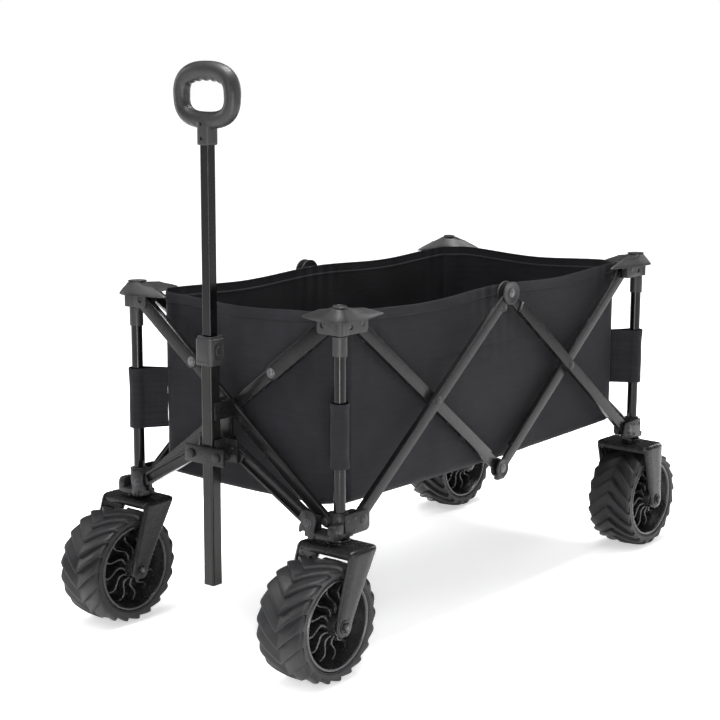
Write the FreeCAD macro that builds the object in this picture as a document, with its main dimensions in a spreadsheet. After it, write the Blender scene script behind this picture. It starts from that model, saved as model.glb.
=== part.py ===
import FreeCAD, Part
import os
import re

# Folding camp wagon. Millimetres, +Z up, +X to the right, +Y to the rear; the draw handle is at -Y.
# The origin lies on the ground under the centre of the wagon's box.
#
# Four posts stand on casters. Crossed flat bars join them: four on each long side, two on each end.
# The bars' upper ends carry the corner caps, whose rods slide in the posts as the wagon folds.
# Bars lie in two layers, an outer and an inner one, on either side of the plane through two posts.
# Where two bars of one layer meet at a middle hinge, each gives up half of its thickness.

doc = FreeCAD.newDocument("camp_wagon")
sheet = doc.addObject("Spreadsheet::Sheet", "Sizes")

SIZES = {
    # frame
    "post_gap_x": 442.0,        # left to right post axes
    "post_gap_y": 880.0,        # front to rear post axes
    "low_pivot": 46.0,          # the bars' pivots on the brackets
    "pivot_rise": 308.0,        # from there up to the pivots on the caps
    "side_offset": 38.0,        # post axis to the pivots of the long sides
    "end_gap": 0.5,             # from a post to the end of a bar on the wagon's ends
    "bar_width": 20.0,
    "bar_thick": 10.0,
    "layer_gap": 1.0,           # between the outer and the inner layer
    "lap_length": 47.0,         # half-thick length of a bar at a middle hinge, from the pivot
    "lap_gap": 0.4,
    "pin_dia": 8.0,
    "pin_head_dia": 15.0,
    "pin_head_thick": 2.5,
    "bolt_head_thick": 3.0,
    "hinge_disc_dia": 27.0,     # plastic discs at the middle hinges
    "hinge_disc_thick": 3.0,
    "running_gap": 0.05,        # shaft in its hole, on the radius
    "slide_gap": 0.4,           # sleeve on a sliding tube, on the radius
    "face_gap": 0.3,            # between faces that pass each other
    # posts, caps and brackets
    "post_dia": 19.0,
    "post_wall": 1.8,
    "post_top": 306.0,
    "bush_top": 336.0,
    "bush_wall": 2.0,           # on the outside of the post
    "rod_low": 100.0,
    "bracket_low": 25.0,
    "bracket_top": 60.0,
    "bracket_width": 34.0,
    "ear_margin": 1.0,          # of an ear round the end of its bar
    "pocket_bite": 0.8,         # of the room for a bar's end into the post's wall
    "lug_reach": 33.0,          # post axis to the drawbar arm's pivot
    "lug_play": 1.0,            # between the drawbar arm and the plates before it
    "shelf_gap": 1.5,           # from a bar's end down to the lug's shelf
    "arm_depth": 13.0,
    "arm_front": 20.0,          # end plane to the back of the drawbar arms
    "plate_thick": 4.0,
    "cap_low": 338.0,
    "cap_roof": 368.0,
    "cap_top": 381.0,
    "roof_thick": 10.0,
    "dome_inset": 2.0,          # of the dome from the roof's outer faces
    "wing_reach": 68.0,         # post axis to the tip of a cap's wing, along the ends
    "wing_reach_side": 92.0,    # the same along the long sides
    "wing_flare": 28.0,         # post axis to the cap's outer face
    # drawbar and handle
    "handle_out": 52.0,         # front end plane to the handle's axis
    "arm_bolt_x": 30.0,
    "arm_bolt_up": 89.0,        # above the low pivots
    "tilt_up": 84.0,            # tilt pivot above the low pivots
    "slot_back": 7.0,           # slot in each drawbar arm, inwards of the bolt's rest place
    "slot_past": 1.5,           # and outwards of it
    "slot_play": 1.0,           # round the bolt, on the radius
    "channel_end": 22.0,        # from an arm's pivots to the hollow in its back
    "channel_half": 6.0,        # half the height of that hollow
    "strap_half": 12.0,         # half the width of the mount's strap
    "strap_thick": 5.0,
    "bridge_thick": 6.0,
    "clip_height": 28.0,
    "clip_wall": 3.0,
    "clip_lip": 6.0,            # of the clip, forwards of the handle's axis
    "cheek_margin": 8.0,        # of a cheek, forwards of the tilt pivot
    "cheek_drop": 12.0,         # and below it
    "mount_margin": 2.0,        # of the mount's plates outside the arms' ends
    "yoke_half_x": 42.0,        # half the width of the yoke's front plate
    "yoke_half_z": 14.0,
    "yoke_bolt_x": 28.0,
    "outer_side": 22.0,         # square tubes with rounded corners
    "outer_round": 3.5,
    "inner_side": 17.6,
    "inner_round": 2.6,
    "handle_wall": 1.4,
    "end_wall": 4.0,            # closed ends of the handle's tubes
    "sleeve_wall": 2.4,
    "outer_low": -85.0,
    "collar_low": 274.0,
    "collar_top": 320.0,
    "collar_side": 36.0,
    "collar_round": 8.0,
    "hidden_run": 20.0,         # of each tube inside the collar or the grip's neck
    "button_dia": 16.0,
    "button_out": 2.5,
    "button_seat": 6.0,         # depth of the button's hole
    "button_root": 3.0,         # of the button inside it
    "inner_low": 210.0,
    "neck_low": 615.0,
    "neck_side": 26.0,
    "neck_round": 7.0,
    "grip_low": 640.0,
    "grip_top": 743.0,
    "grip_width": 134.0,
    "grip_dia": 27.0,
    # casters
    "wheel_radius": 95.0,
    "wheel_width": 90.0,
    "crown_rise": 4.0,          # of the ball that rounds the tyre's shoulders, over its radius
    "rim_radius": 72.0,
    "rim_wall": 5.0,
    "rim_web": 8.0,
    "rim_inset": 3.0,           # of the rim's edge from the tyre's side
    "hub_out": 4.0,             # of the hub past the tyre's side
    "hub_dia": 36.0,
    "axle_dia": 12.0,
    "axle_nut_dia": 20.0,
    "axle_nut_thick": 6.0,
    "front_trail": 54.0,
    "rear_trail": 10.0,
    "fork_top": 16.0,
    "fork_gap": 7.0,            # from a tyre to the fork's legs
    "fork_metal": 4.0,
    "fork_flange": 13.0,
    "fork_front": 35.0,         # post axis to the bridge's front edge
    "fork_back": 26.0,
    "fork_tip": 16.0,
    # bag
    "bag_low": 62.0,
    "bag_top": 365.0,
    "bag_inset_x": 21.0,        # post axis to the bag's outer face, side walls
    "bag_inset_y": 18.0,        # the same, end walls
    "bag_corner": 32.0,
    "bag_wall": 3.0,
    "floor_thick": 4.0,
}

# Heights are kept above the tops of the wheels, so that all else rises with them
HEIGHTS = (
    "low_pivot", "post_top", "bush_top", "rod_low", "bracket_low", "bracket_top",
    "cap_low", "cap_roof", "cap_top", "outer_low", "collar_low", "collar_top",
    "inner_low", "neck_low", "grip_low", "grip_top", "fork_top", "bag_low", "bag_top",
)

for row, (alias, value) in enumerate(SIZES.items(), start=1):
    sheet.set(f"A{row}", alias)
    sheet.set(f"B{row}", str(value))
    sheet.setAlias(f"B{row}", alias)
doc.recompute()

ALIAS = re.compile(r"\b(" + "|".join(SIZES) + r")\b")

# Places that follow from the sizes, written once
HALF_X = "(post_gap_x / 2)"
SHIFT_Y = "((front_trail - rear_trail) / 2)"
FRONT_Y = f"({SHIFT_Y} - post_gap_y / 2)"
REAR_Y = f"({SHIFT_Y} + post_gap_y / 2)"
SIDE_SPAN = "((post_gap_y - 2 * side_offset) / 2)"
END_OFFSET = "(post_dia / 2 + bar_width / 2 + end_gap)"
END_SPAN = f"(post_gap_x - 2 * {END_OFFSET})"
TOP_PIVOT = "(low_pivot + pivot_rise)"
LAYER_NEAR = "(layer_gap / 2)"
LAYER_FAR = "(layer_gap / 2 + bar_thick)"
HEAD_FAR = "(layer_gap / 2 + bar_thick + pin_head_thick)"
TUBE_BORE = "(post_dia / 2 - post_wall)"
ROD_RADIUS = f"({TUBE_BORE} - slide_gap)"
HANDLE_Y = f"({FRONT_Y} - handle_out)"
TILT_Z = "(low_pivot + tilt_up)"
BOLT_Z = "(low_pivot + arm_bolt_up)"
BUSH_RADIUS = "(post_dia / 2 + bush_wall)"
FORK_HALF = "(wheel_width / 2 + fork_gap + fork_metal)"
ARM_RUN = "(post_gap_x / 2 - lug_reach - arm_bolt_x)"
ARM_LENGTH = f"sqrt({ARM_RUN}^2 + arm_bolt_up^2)"
CROSSING_Z = "(low_pivot + pivot_rise / 2)"

ALONG = {
    "x": FreeCAD.Rotation(FreeCAD.Vector(0, 1, 0), 90),
    "y": FreeCAD.Rotation(FreeCAD.Vector(1, 0, 0), -90),
    "z": FreeCAD.Rotation(),
}
TURN = {"x": FreeCAD.Vector(1, 0, 0), "y": FreeCAD.Vector(0, 1, 0), "z": FreeCAD.Vector(0, 0, 1)}

nodes = []


def in_sheet(found):
    """A size's cell, for a height with the wheels under it."""
    name = found.group(1)
    return f"(2 * Sizes.wheel_radius + Sizes.{name})" if name in HEIGHTS else f"Sizes.{name}"


def bind(item, prop, formula):
    """Tie one property to the sheet."""
    item.setExpression(prop, ALIAS.sub(in_sheet, str(formula)))


def place(item, at, axis=None, angle=None):
    """Put an object somewhere, turned about one axis if an angle is given."""
    if axis:
        item.Placement = FreeCAD.Placement(FreeCAD.Vector(), FreeCAD.Rotation(TURN[axis], 10))
        bind(item, "Placement.Rotation.Angle", angle)
    for letter, formula in zip("xyz", at):
        bind(item, f"Placement.Base.{letter}", formula)
    return item


def box(low, size):
    """A block from its lowest corner and its three sizes."""
    item = doc.addObject("Part::Box", "Block")
    for prop, formula in zip(("Length", "Width", "Height"), size):
        bind(item, prop, formula)
    return place(item, low)


def span_box(*ranges):
    """A block from its low and high limits along X, Y and Z."""
    low = [pair[0] for pair in ranges]
    size = [f"({pair[1]}) - ({pair[0]})" for pair in ranges]
    return box(low, size)


def cylinder(axis, radius, start, length):
    """A round bar along one axis, from the centre of its lower face."""
    item = doc.addObject("Part::Cylinder", "Round")
    bind(item, "Radius", radius)
    bind(item, "Height", length)
    item.Placement = FreeCAD.Placement(FreeCAD.Vector(), ALONG[axis])
    return place(item, start)


def square_bar(side, corner, low, length):
    """An upright square bar on the Z axis with rounded corners."""
    half = f"({side}) / 2"
    core = f"(({side}) / 2 - ({corner}))"
    across = box((f"-{half}", f"-{core}", low), (side, f"2 * {core}", length))
    along = box((f"-{core}", f"-{half}", low), (f"2 * {core}", side, length))
    posts = [
        cylinder("z", corner, (f"{a} * {core}", f"{b} * {core}", low), length)
        for a in (-1, 1) for b in (-1, 1)
    ]
    return fuse(across, along, *posts)


def fuse(*items):
    item = doc.addObject("Part::MultiFuse", "Joined")
    item.Shapes = list(items)
    item.Refine = True
    return item


def cut(base, *tools):
    item = doc.addObject("Part::Cut", "Cut")
    item.Base = base
    item.Tool = tools[0] if len(tools) == 1 else fuse(*tools)
    item.Refine = True
    return item


def common(first, second):
    item = doc.addObject("Part::MultiCommon", "Shared")
    item.Shapes = [first, second]
    return item


def group(*items):
    """Separate solids that belong to one sub-part."""
    item = doc.addObject("Part::Compound", "Set")
    item.Links = list(items)
    return item


def node(label, item):
    item.Label = label
    nodes.append(item)
    return item


def flat(plane, u, w, layer):
    """A point beside a post plane: u along it, w up, layer out from it (as X, Y, Z)."""
    return (layer, u, w) if plane == "side" else (u, layer, w)


def normal(plane):
    return "x" if plane == "side" else "y"


# ---------------------------------------------------------------- crossed bars

def pin(plane, u):
    """A pin through both layers, with a head at each end."""
    axis = normal(plane)
    shaft = cylinder(axis, "pin_dia / 2", flat(plane, u, "0", f"-{HEAD_FAR}"), f"2 * {HEAD_FAR}")
    heads = [
        cylinder(axis, "pin_head_dia / 2", flat(plane, u, "0", start), "pin_head_thick")
        for start in (f"-{HEAD_FAR}", LAYER_FAR)
    ]
    return fuse(shaft, *heads)


def hinge(plane, u, layer):
    """A hinge pin through one layer, between two discs."""
    axis = normal(plane)
    near = f"({LAYER_NEAR} - hinge_disc_thick)"
    far = f"({LAYER_FAR} + hinge_disc_thick)"
    starts = (near, LAYER_FAR) if layer > 0 else (f"-{far}", f"-{LAYER_NEAR}")
    shaft = cylinder(axis, "pin_dia / 2", flat(plane, u, "0", starts[0]), f"{far} - {near}")
    discs = [
        cylinder(axis, "hinge_disc_dia / 2", flat(plane, u, "0", start), "hinge_disc_thick")
        for start in starts
    ]
    return fuse(shaft, *discs)


def lap(plane, u, layer, keeps_outer):
    """The half of a bar's thickness that it gives up round a middle hinge."""
    half = "((bar_thick + lap_gap) / 2)"
    # from the bar's face at the end plane outwards, or from its far face inwards
    near = LAYER_NEAR if keeps_outer else f"({LAYER_FAR} - {half})"
    low = near if layer > 0 else f"-{near} - {half}"
    along = "-lap_length" if u == "0" else f"{u} - lap_length"
    start = flat(plane, along, "-bar_width", low)
    return box(start, flat(plane, "2 * lap_length", "2 * bar_width", half))


def bar(label, plane, length, layer, at, angle, pins, hinged=None, outer_half=True):
    """A flat bar with rounded ends and three holes, with pins in some and a lap at its middle hinge."""
    axis = normal(plane)
    low = LAYER_NEAR if layer > 0 else f"-{LAYER_FAR}"
    half = "bar_width / 2"
    middle = f"({length}) / 2"
    if plane == "side":
        shank = box((low, "0", f"-{half}"), ("bar_thick", length, "bar_width"))
    else:
        shank = box(("0", low, f"-{half}"), (length, "bar_thick", "bar_width"))
    ends = [cylinder(axis, half, flat(plane, u, "0", low), "bar_thick") for u in ("0", length)]
    places = {"foot": "0", "middle": middle, "tip": length}
    holes = [
        cylinder(axis, "pin_dia / 2 + running_gap", flat(plane, u, "0", low), "bar_thick")
        for u in places.values()
    ]
    if hinged:
        holes.append(lap(plane, places[hinged], layer, outer_half))
    body = cut(fuse(shank, *ends), *holes)
    fixings = [pin(plane, places[where]) for where in pins]
    if hinged and outer_half:
        fixings.append(hinge(plane, places[hinged], layer))
    whole = node(label, group(body, *fixings))
    place(whole, at, "x" if plane == "side" else "y", angle)


SIDE_LENGTH = f"sqrt({SIDE_SPAN}^2 + pivot_rise^2)"
END_LENGTH = f"sqrt({END_SPAN}^2 + pivot_rise^2)"
SIDE_ANGLE = f"atan(pivot_rise / {SIDE_SPAN})"
END_ANGLE = f"atan(pivot_rise / {END_SPAN})"
FRONT_PIVOT = f"({FRONT_Y} + side_offset)"
MIDDLE_Y = f"({FRONT_PIVOT} + {SIDE_SPAN})"

for side, sign in (("right", 1), ("left", -1)):
    out = f"{sign} * {HALF_X}"
    low_front = (out, FRONT_PIVOT, "low_pivot")
    top_front = (out, FRONT_PIVOT, TOP_PIVOT)
    low_middle = (out, MIDDLE_Y, "low_pivot")
    top_middle = (out, MIDDLE_Y, TOP_PIVOT)
    up = SIDE_ANGLE
    down = f"-{SIDE_ANGLE}"
    # bars 1 and 3 run outside and meet at the top, bars 2 and 4 run inside and meet below
    bar(f"side_bar_1_{side}", "side", SIDE_LENGTH, sign, low_front, up, ("foot", "middle"), "tip")
    bar(f"side_bar_2_{side}", "side", SIDE_LENGTH, -sign, top_front, down, ("foot",), "tip")
    bar(f"side_bar_3_{side}", "side", SIDE_LENGTH, sign, top_middle, down, ("middle", "tip"), "foot", False)
    bar(f"side_bar_4_{side}", "side", SIDE_LENGTH, -sign, low_middle, up, ("tip",), "foot", False)

for end, at_y, sign in (("front", FRONT_Y, -1), ("rear", REAR_Y, 1)):
    # the Y axis turns a bar that points along +X downwards, so a rising bar has a negative angle
    inner = f"({HALF_X} - {END_OFFSET})"
    bar(f"end_bar_1_{end}", "end", END_LENGTH, sign, (f"-{inner}", at_y, TOP_PIVOT), END_ANGLE,
        ("foot", "middle", "tip"))
    bar(f"end_bar_2_{end}", "end", END_LENGTH, -sign, (f"-{inner}", at_y, "low_pivot"), f"-{END_ANGLE}",
        ("foot", "tip"))


# ---------------------------------------------------------------- posts, brackets, caps

def ear(plane, inward, layer, reach, w, foot):
    """A plate from a block to just past a pivot, in the layer that the bar leaves free."""
    axis = normal(plane)
    low = "face_gap" if layer > 0 else f"-{LAYER_FAR}"
    thick = f"{LAYER_FAR} - face_gap"
    radius = "bar_width / 2 + ear_margin"
    at = f"{inward} * ({reach})"
    start = foot if inward > 0 else f"-({reach})"
    size = flat(plane, f"{reach} - {foot}", f"2 * ({radius})", thick)
    web = box(flat(plane, start, f"{w} - ({radius})", low), size)
    tip = cylinder(axis, radius, flat(plane, at, w, low), thick)
    shaft = cylinder(axis, "pin_dia / 2 + running_gap", flat(plane, at, w, "-bracket_width"),
                     "2 * bracket_width")
    head_low = LAYER_FAR if layer > 0 else f"-{LAYER_FAR} - bracket_width"
    head = cylinder(axis, "pin_head_dia / 2 + face_gap", flat(plane, at, w, head_low), "bracket_width")
    return [web, tip], fuse(shaft, head)


def pocket(plane, inward, layer, reach, w, upward):
    """Room beside a post for a bar's end and its swing, up from a bracket or down from a cap."""
    low = "0" if layer > 0 else "-bracket_width"
    near = "post_dia / 2 - pocket_bite"
    size = f"{reach} + bar_width"
    start = near if inward > 0 else f"-({near}) - ({size})"
    radius = "bar_width / 2 + ear_margin"
    base = f"{w} - ({radius})" if upward else f"{w} + ({radius}) - 2 * bracket_width"
    if plane == "side":
        return box((low, start, base), ("bracket_width", size, "2 * bracket_width"))
    return box((start, low, base), (size, "bracket_width", "2 * bracket_width"))


def bracket(label, out, along, at, side_layer, end_layer, with_lug):
    """The block at a post's foot; out and along point away from the wagon's middle in X and Y."""
    half = "bracket_width / 2"
    block = span_box((f"-{half}", half), (f"-{half}", half), ("bracket_low", "bracket_top"))
    side_plates, side_hole = ear("side", -along, side_layer, "side_offset", "low_pivot", half)
    end_plates, end_hole = ear("end", -out, end_layer, END_OFFSET, "low_pivot", "post_dia / 2")
    solids = [block, *side_plates, *end_plates]
    holes = [side_hole, end_hole]
    holes.append(pocket("end", -out, -end_layer, END_OFFSET, "low_pivot", True))
    holes.append(cylinder("z", "post_dia / 2", ("0", "0", "bracket_low"), "2 * bracket_width"))
    body = cut(fuse(*solids), *holes)
    if with_lug:
        # a shelf under the bars' ends and an upright plate, which carry the drawbar arm's pin
        tip = "lug_reach + bar_width / 2"
        face = "arm_front + arm_depth + lug_play"
        shelf_x = (f"-({tip})", half) if out > 0 else (f"-{half}", tip)
        plate_x = (f"-({tip})", "-lug_reach + bar_width / 2") if out > 0 else (
            "lug_reach - bar_width / 2", tip)
        shelf_top = "low_pivot - bar_width / 2 - shelf_gap"
        shelf = span_box(shelf_x, (f"-({face}) - plate_thick", half), ("bracket_low", shelf_top))
        plate = span_box(plate_x, (f"-({face}) - plate_thick", f"-({face})"), ("bracket_low", "low_pivot"))
        crown = cylinder("y", "bar_width / 2",
                         (f"{-out} * lug_reach", f"-({face}) - plate_thick", "low_pivot"),
                         "plate_thick")
        bolt_at = (f"{-out} * lug_reach", f"-({face}) - plate_thick - bolt_head_thick", "low_pivot")
        stud = cylinder("y", "pin_dia / 2", bolt_at, "plate_thick + bolt_head_thick + lug_play + arm_depth")
        bolt = cylinder("y", "pin_head_dia / 2", bolt_at, "bolt_head_thick")
        bore = cylinder("z", "post_dia / 2", ("0", "0", "bracket_low"), "2 * bracket_width")
        body = fuse(body, cut(shelf, bore), plate, crown, stud, bolt)
    place(node(label, group(body)), at)


def cap(label, out, along, at, side_layer, end_layer):
    """A corner cap: a block over the post, an ear for each bar and a roof with drooping eaves."""
    half = "bracket_width / 2"
    block = span_box((f"-{half}", half), (f"-{half}", half), ("cap_low", "cap_roof"))
    side_plates, side_hole = ear("side", -along, side_layer, "side_offset", TOP_PIVOT, half)
    end_plates, end_hole = ear("end", -out, end_layer, END_OFFSET, TOP_PIVOT, "post_dia / 2")
    flare = "wing_flare"
    x_side = (f"-{half}", flare) if out > 0 else (f"-{flare}", half)
    y_end = (f"-{half}", flare) if along > 0 else (f"-{flare}", half)
    side_y = ("-wing_reach_side", flare) if along > 0 else (f"-{flare}", "wing_reach_side")
    end_x = ("-wing_reach", flare) if out > 0 else (f"-{flare}", "wing_reach")
    roof_side = span_box(x_side, side_y, ("cap_roof", "cap_roof + roof_thick"))
    roof_end = span_box(end_x, y_end, ("cap_roof", "cap_roof + roof_thick"))
    dome = cylinder("z", "wing_flare - dome_inset", ("0", "0", "cap_roof"), "cap_top - cap_roof")
    solids = [block, *side_plates, *end_plates, roof_side, roof_end, dome]
    holes = [side_hole, end_hole, pocket("end", -out, -end_layer, END_OFFSET, TOP_PIVOT, False)]
    holes.append(cylinder("z", ROD_RADIUS, ("0", "0", "cap_low"), "cap_roof - cap_low"))
    place(node(label, cut(fuse(*solids), *holes)), at)


CORNERS = (
    # name, out, along, post place
    ("front_right", 1, -1),
    ("front_left", -1, -1),
    ("rear_right", 1, 1),
    ("rear_left", -1, 1),
)

for corner, out, along in CORNERS:
    at = (f"{out} * {HALF_X}", FRONT_Y if along < 0 else REAR_Y, "0")
    # on the long sides the brackets hold bars of the outer layer and the caps those of the inner one
    low_end_layer = along if out > 0 else -along
    bracket(f"bracket_{corner}", out, along, at, -out, -low_end_layer, along < 0)
    tube = cut(
        cylinder("z", "post_dia / 2", ("0", "0", "bracket_low"), "post_top - bracket_low"),
        cylinder("z", TUBE_BORE, ("0", "0", "bracket_low"), "post_top - bracket_low"),
    )
    place(node(f"post_{corner}", group(tube)), at)
    bush = cut(
        cylinder("z", BUSH_RADIUS, ("0", "0", "post_top"), "bush_top - post_top"),
        cylinder("z", TUBE_BORE, ("0", "0", "post_top"), "bush_top - post_top"),
    )
    place(node(f"bush_{corner}", group(bush)), at)
    rod = cylinder("z", ROD_RADIUS, ("0", "0", "rod_low"), "cap_roof - rod_low")
    place(node(f"rod_{corner}", group(rod)), at)
    cap(f"cap_{corner}", out, along, at, out, low_end_layer)


# ---------------------------------------------------------------- casters

def leg(x_low, trail):
    """One side of a fork, wide at the bridge and narrow at the axle."""
    plate = doc.addObject("Part::Wedge", "Leg")
    bind(plate, "Xmin", f"{trail} - fork_tip")
    bind(plate, "Xmax", f"{trail} + fork_tip")
    bind(plate, "X2min", "-fork_front")
    bind(plate, "X2max", "fork_back")
    bind(plate, "Ymin", "wheel_radius")
    bind(plate, "Ymax", "fork_top")
    for prop, formula in (("Zmin", "0"), ("Z2min", "0"), ("Zmax", "fork_metal"), ("Z2max", "fork_metal")):
        bind(plate, prop, formula)
    # the wedge's own X, Y and Z become the wagon's Y, Z and X
    turned = FreeCAD.Rotation(FreeCAD.Vector(1, 1, 1), 120)
    plate.Placement = FreeCAD.Placement(FreeCAD.Vector(), turned)
    bind(plate, "Placement.Base.x", x_low)
    tip = cylinder("x", "fork_tip", (x_low, trail, "wheel_radius"), "fork_metal")
    return fuse(plate, tip)


def fork(label, at, trail):
    bridge = span_box((f"-{FORK_HALF}", FORK_HALF), ("-fork_front", "fork_back"),
                      ("fork_top - fork_metal", "fork_top"))
    flange = span_box((f"-{FORK_HALF}", FORK_HALF), ("-fork_front", "-fork_front + fork_metal"),
                      ("fork_top - fork_flange", "fork_top"))
    washer = cylinder("z", "bracket_width / 2", ("0", "0", "fork_top"), "bracket_low - face_gap - fork_top")
    stem = cylinder("z", ROD_RADIUS, ("0", "0", "fork_top"), "low_pivot - fork_top")
    shell = fuse(bridge, flange, leg(f"{FORK_HALF} - fork_metal", trail), leg(f"-{FORK_HALF}", trail),
                 washer, stem)
    bore = cylinder("x", "axle_dia / 2", (f"-{FORK_HALF}", trail, "wheel_radius"), f"2 * {FORK_HALF}")
    axle = cylinder("x", "axle_dia / 2", (f"-{FORK_HALF}", trail, "wheel_radius"), f"2 * {FORK_HALF}")
    nuts = [
        cylinder("x", "axle_nut_dia / 2", (start, trail, "wheel_radius"), "axle_nut_thick")
        for start in (FORK_HALF, f"-{FORK_HALF} - axle_nut_thick")
    ]
    place(node(label, group(cut(shell, bore), fuse(axle, *nuts))), at)


def wheel(corner, at):
    half = "wheel_width / 2"
    centre = ("0", "0", "wheel_radius")
    roll = cylinder("x", "wheel_radius", (f"-{half}", "0", "wheel_radius"), "wheel_width")
    ball = doc.addObject("Part::Sphere", "Crown")
    bind(ball, "Radius", "wheel_radius + crown_rise")
    place(ball, centre)
    inside = cylinder("x", "rim_radius", (f"-{half}", "0", "wheel_radius"), "wheel_width")
    place(node(f"tyre_{corner}", cut(common(roll, ball), inside)), at)
    width = "wheel_width - 2 * rim_inset"
    start = f"-({width}) / 2"
    barrel = cut(
        cylinder("x", "rim_radius", (start, "0", "wheel_radius"), width),
        cylinder("x", "rim_radius - rim_wall", (start, "0", "wheel_radius"), width),
    )
    web = cylinder("x", "rim_radius - rim_wall / 2", ("-rim_web / 2", "0", "wheel_radius"), "rim_web")
    hub = cylinder("x", "hub_dia / 2", (f"-{half} - hub_out", "0", "wheel_radius"),
                   "wheel_width + 2 * hub_out")
    bore = cylinder("x", "axle_dia / 2 + running_gap", ("-wheel_width", "0", "wheel_radius"),
                    "2 * wheel_width")
    place(node(f"rim_{corner}", cut(fuse(barrel, web, hub), bore)), at)


for corner, out, along in CORNERS:
    post_y = FRONT_Y if along < 0 else REAR_Y
    trail = "(-front_trail)" if along < 0 else "rear_trail"
    fork(f"fork_{corner}", (f"{out} * {HALF_X}", post_y, "0"), trail)
    wheel(corner, (f"{out} * {HALF_X}", f"{post_y} + {trail}", "0"))


# ---------------------------------------------------------------- drawbar and handle

ARM_BACK = f"({FRONT_Y} - arm_front - arm_depth)"

for side, sign in (("right", 1), ("left", -1)):
    # each arm lies along X from its pin on the bracket to the slot round its bolt on the drawbar mount
    half = "bar_width / 2"
    start = f"-{ARM_LENGTH}" if sign > 0 else "0"
    inner_end = f"{-sign} * {ARM_LENGTH}"
    shank = box((start, "0", f"-{half}"), (ARM_LENGTH, "arm_depth", "bar_width"))
    ends = [cylinder("y", half, (u, "0", "0"), "arm_depth") for u in ("0", inner_end)]
    near = f"{-sign} * ({ARM_LENGTH} - slot_back)"
    tip = f"{-sign} * ({ARM_LENGTH} + slot_past)"
    width = "pin_dia / 2 + slot_play"
    slot_start = tip if sign > 0 else near
    slot = fuse(
        cylinder("y", width, (near, "0", "0"), "arm_depth"),
        cylinder("y", width, (tip, "0", "0"), "arm_depth"),
        box((slot_start, "0", f"-({width})"), ("slot_back + slot_past", "arm_depth", f"2 * ({width})")),
    )
    hole = cylinder("y", "pin_dia / 2 + running_gap", ("0", "0", "0"), "arm_depth")
    channel = box((f"{start} + channel_end", "0", "-channel_half"),
                  (f"{ARM_LENGTH} - 2 * channel_end", "arm_depth / 2", "2 * channel_half"))
    arm = node(f"drawbar_arm_{side}", cut(fuse(shank, *ends), slot, hole, channel))
    place(arm, (f"{sign} * ({HALF_X} - lug_reach)", ARM_BACK, "low_pivot"),
          "y", f"{sign} * atan(arm_bolt_up / {ARM_RUN})")

# the mount hangs on the front bars' crossing: a strap down from the pin, a clip for the handle's
# tube, two cheeks for the tilt pivots and a plate beside each cheek for the arm's bolt
STRAP = f"({HEAD_FAR} + 2 * face_gap)"
SEAT = "(outer_side / 2 + slide_gap)"
SLEEVE_IN = "(outer_side / 2 + 3 * running_gap)"
SLEEVE_OUT = f"({SLEEVE_IN} + sleeve_wall)"
CHEEK = f"({SLEEVE_OUT} + 2 * face_gap)"
CHEEK_OUT = f"({CHEEK} + plate_thick)"
PLATE_BACK = "(arm_front + arm_depth + lug_play)"
MOUNT_TOP = "(low_pivot + arm_bolt_up + bar_width)"
CLIP_LOW = f"({CROSSING_Z} - clip_height / 2)"
CLIP_TOP = f"({CROSSING_Z} + clip_height / 2)"
CLIP_WALL = f"({SEAT} + clip_wall)"

strap = span_box(("-strap_half", "strap_half"), (f"-{STRAP} - strap_thick", f"-{STRAP}"),
                 (f"{MOUNT_TOP} - bridge_thick", CLIP_TOP))
clip_block = span_box((f"-{CLIP_WALL}", CLIP_WALL), ("-handle_out - clip_lip", f"-{STRAP}"),
                      (CLIP_LOW, CLIP_TOP))
clip_mouth = span_box((f"-{SEAT}", SEAT), ("-2 * handle_out", f"-handle_out + {SEAT}"), (CLIP_LOW, CLIP_TOP))
bridge = span_box((f"-{CHEEK_OUT}", CHEEK_OUT), (f"-{PLATE_BACK} - plate_thick", f"-{STRAP}"),
                  (f"{MOUNT_TOP} - bridge_thick", MOUNT_TOP))
pieces = [strap, clip_block, bridge]
for sign in (-1, 1):
    plate_out = "(arm_bolt_x + bar_width / 2 + mount_margin)"
    cheek_x = (CHEEK, CHEEK_OUT) if sign > 0 else (f"-{CHEEK_OUT}", f"-{CHEEK}")
    plate_x = (CHEEK, plate_out) if sign > 0 else (f"-{plate_out}", f"-{CHEEK}")
    cheek_z = (f"{TILT_Z} - cheek_drop", MOUNT_TOP)
    head_y = f"-{PLATE_BACK} - plate_thick - bolt_head_thick"
    bolt_at = (f"{sign} * arm_bolt_x", head_y, BOLT_Z)
    pieces.append(span_box(cheek_x, ("-handle_out - cheek_margin", f"-{PLATE_BACK}"), cheek_z))
    pieces.append(span_box(plate_x, (f"-{PLATE_BACK} - plate_thick", f"-{PLATE_BACK}"), cheek_z))
    pieces.append(cylinder("y", "pin_dia / 2", bolt_at,
                           "plate_thick + bolt_head_thick + lug_play + arm_depth"))
    pieces.append(cylinder("y", "pin_head_dia / 2", bolt_at, "bolt_head_thick"))
tilt_holes = cylinder("x", "pin_dia / 2 + running_gap", (f"-{CHEEK_OUT}", "-handle_out", TILT_Z),
                      f"2 * {CHEEK_OUT}")
mount = cut(fuse(*pieces), clip_mouth, tilt_holes)
place(node("drawbar_mount", mount), ("0", FRONT_Y, "0"))

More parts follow.
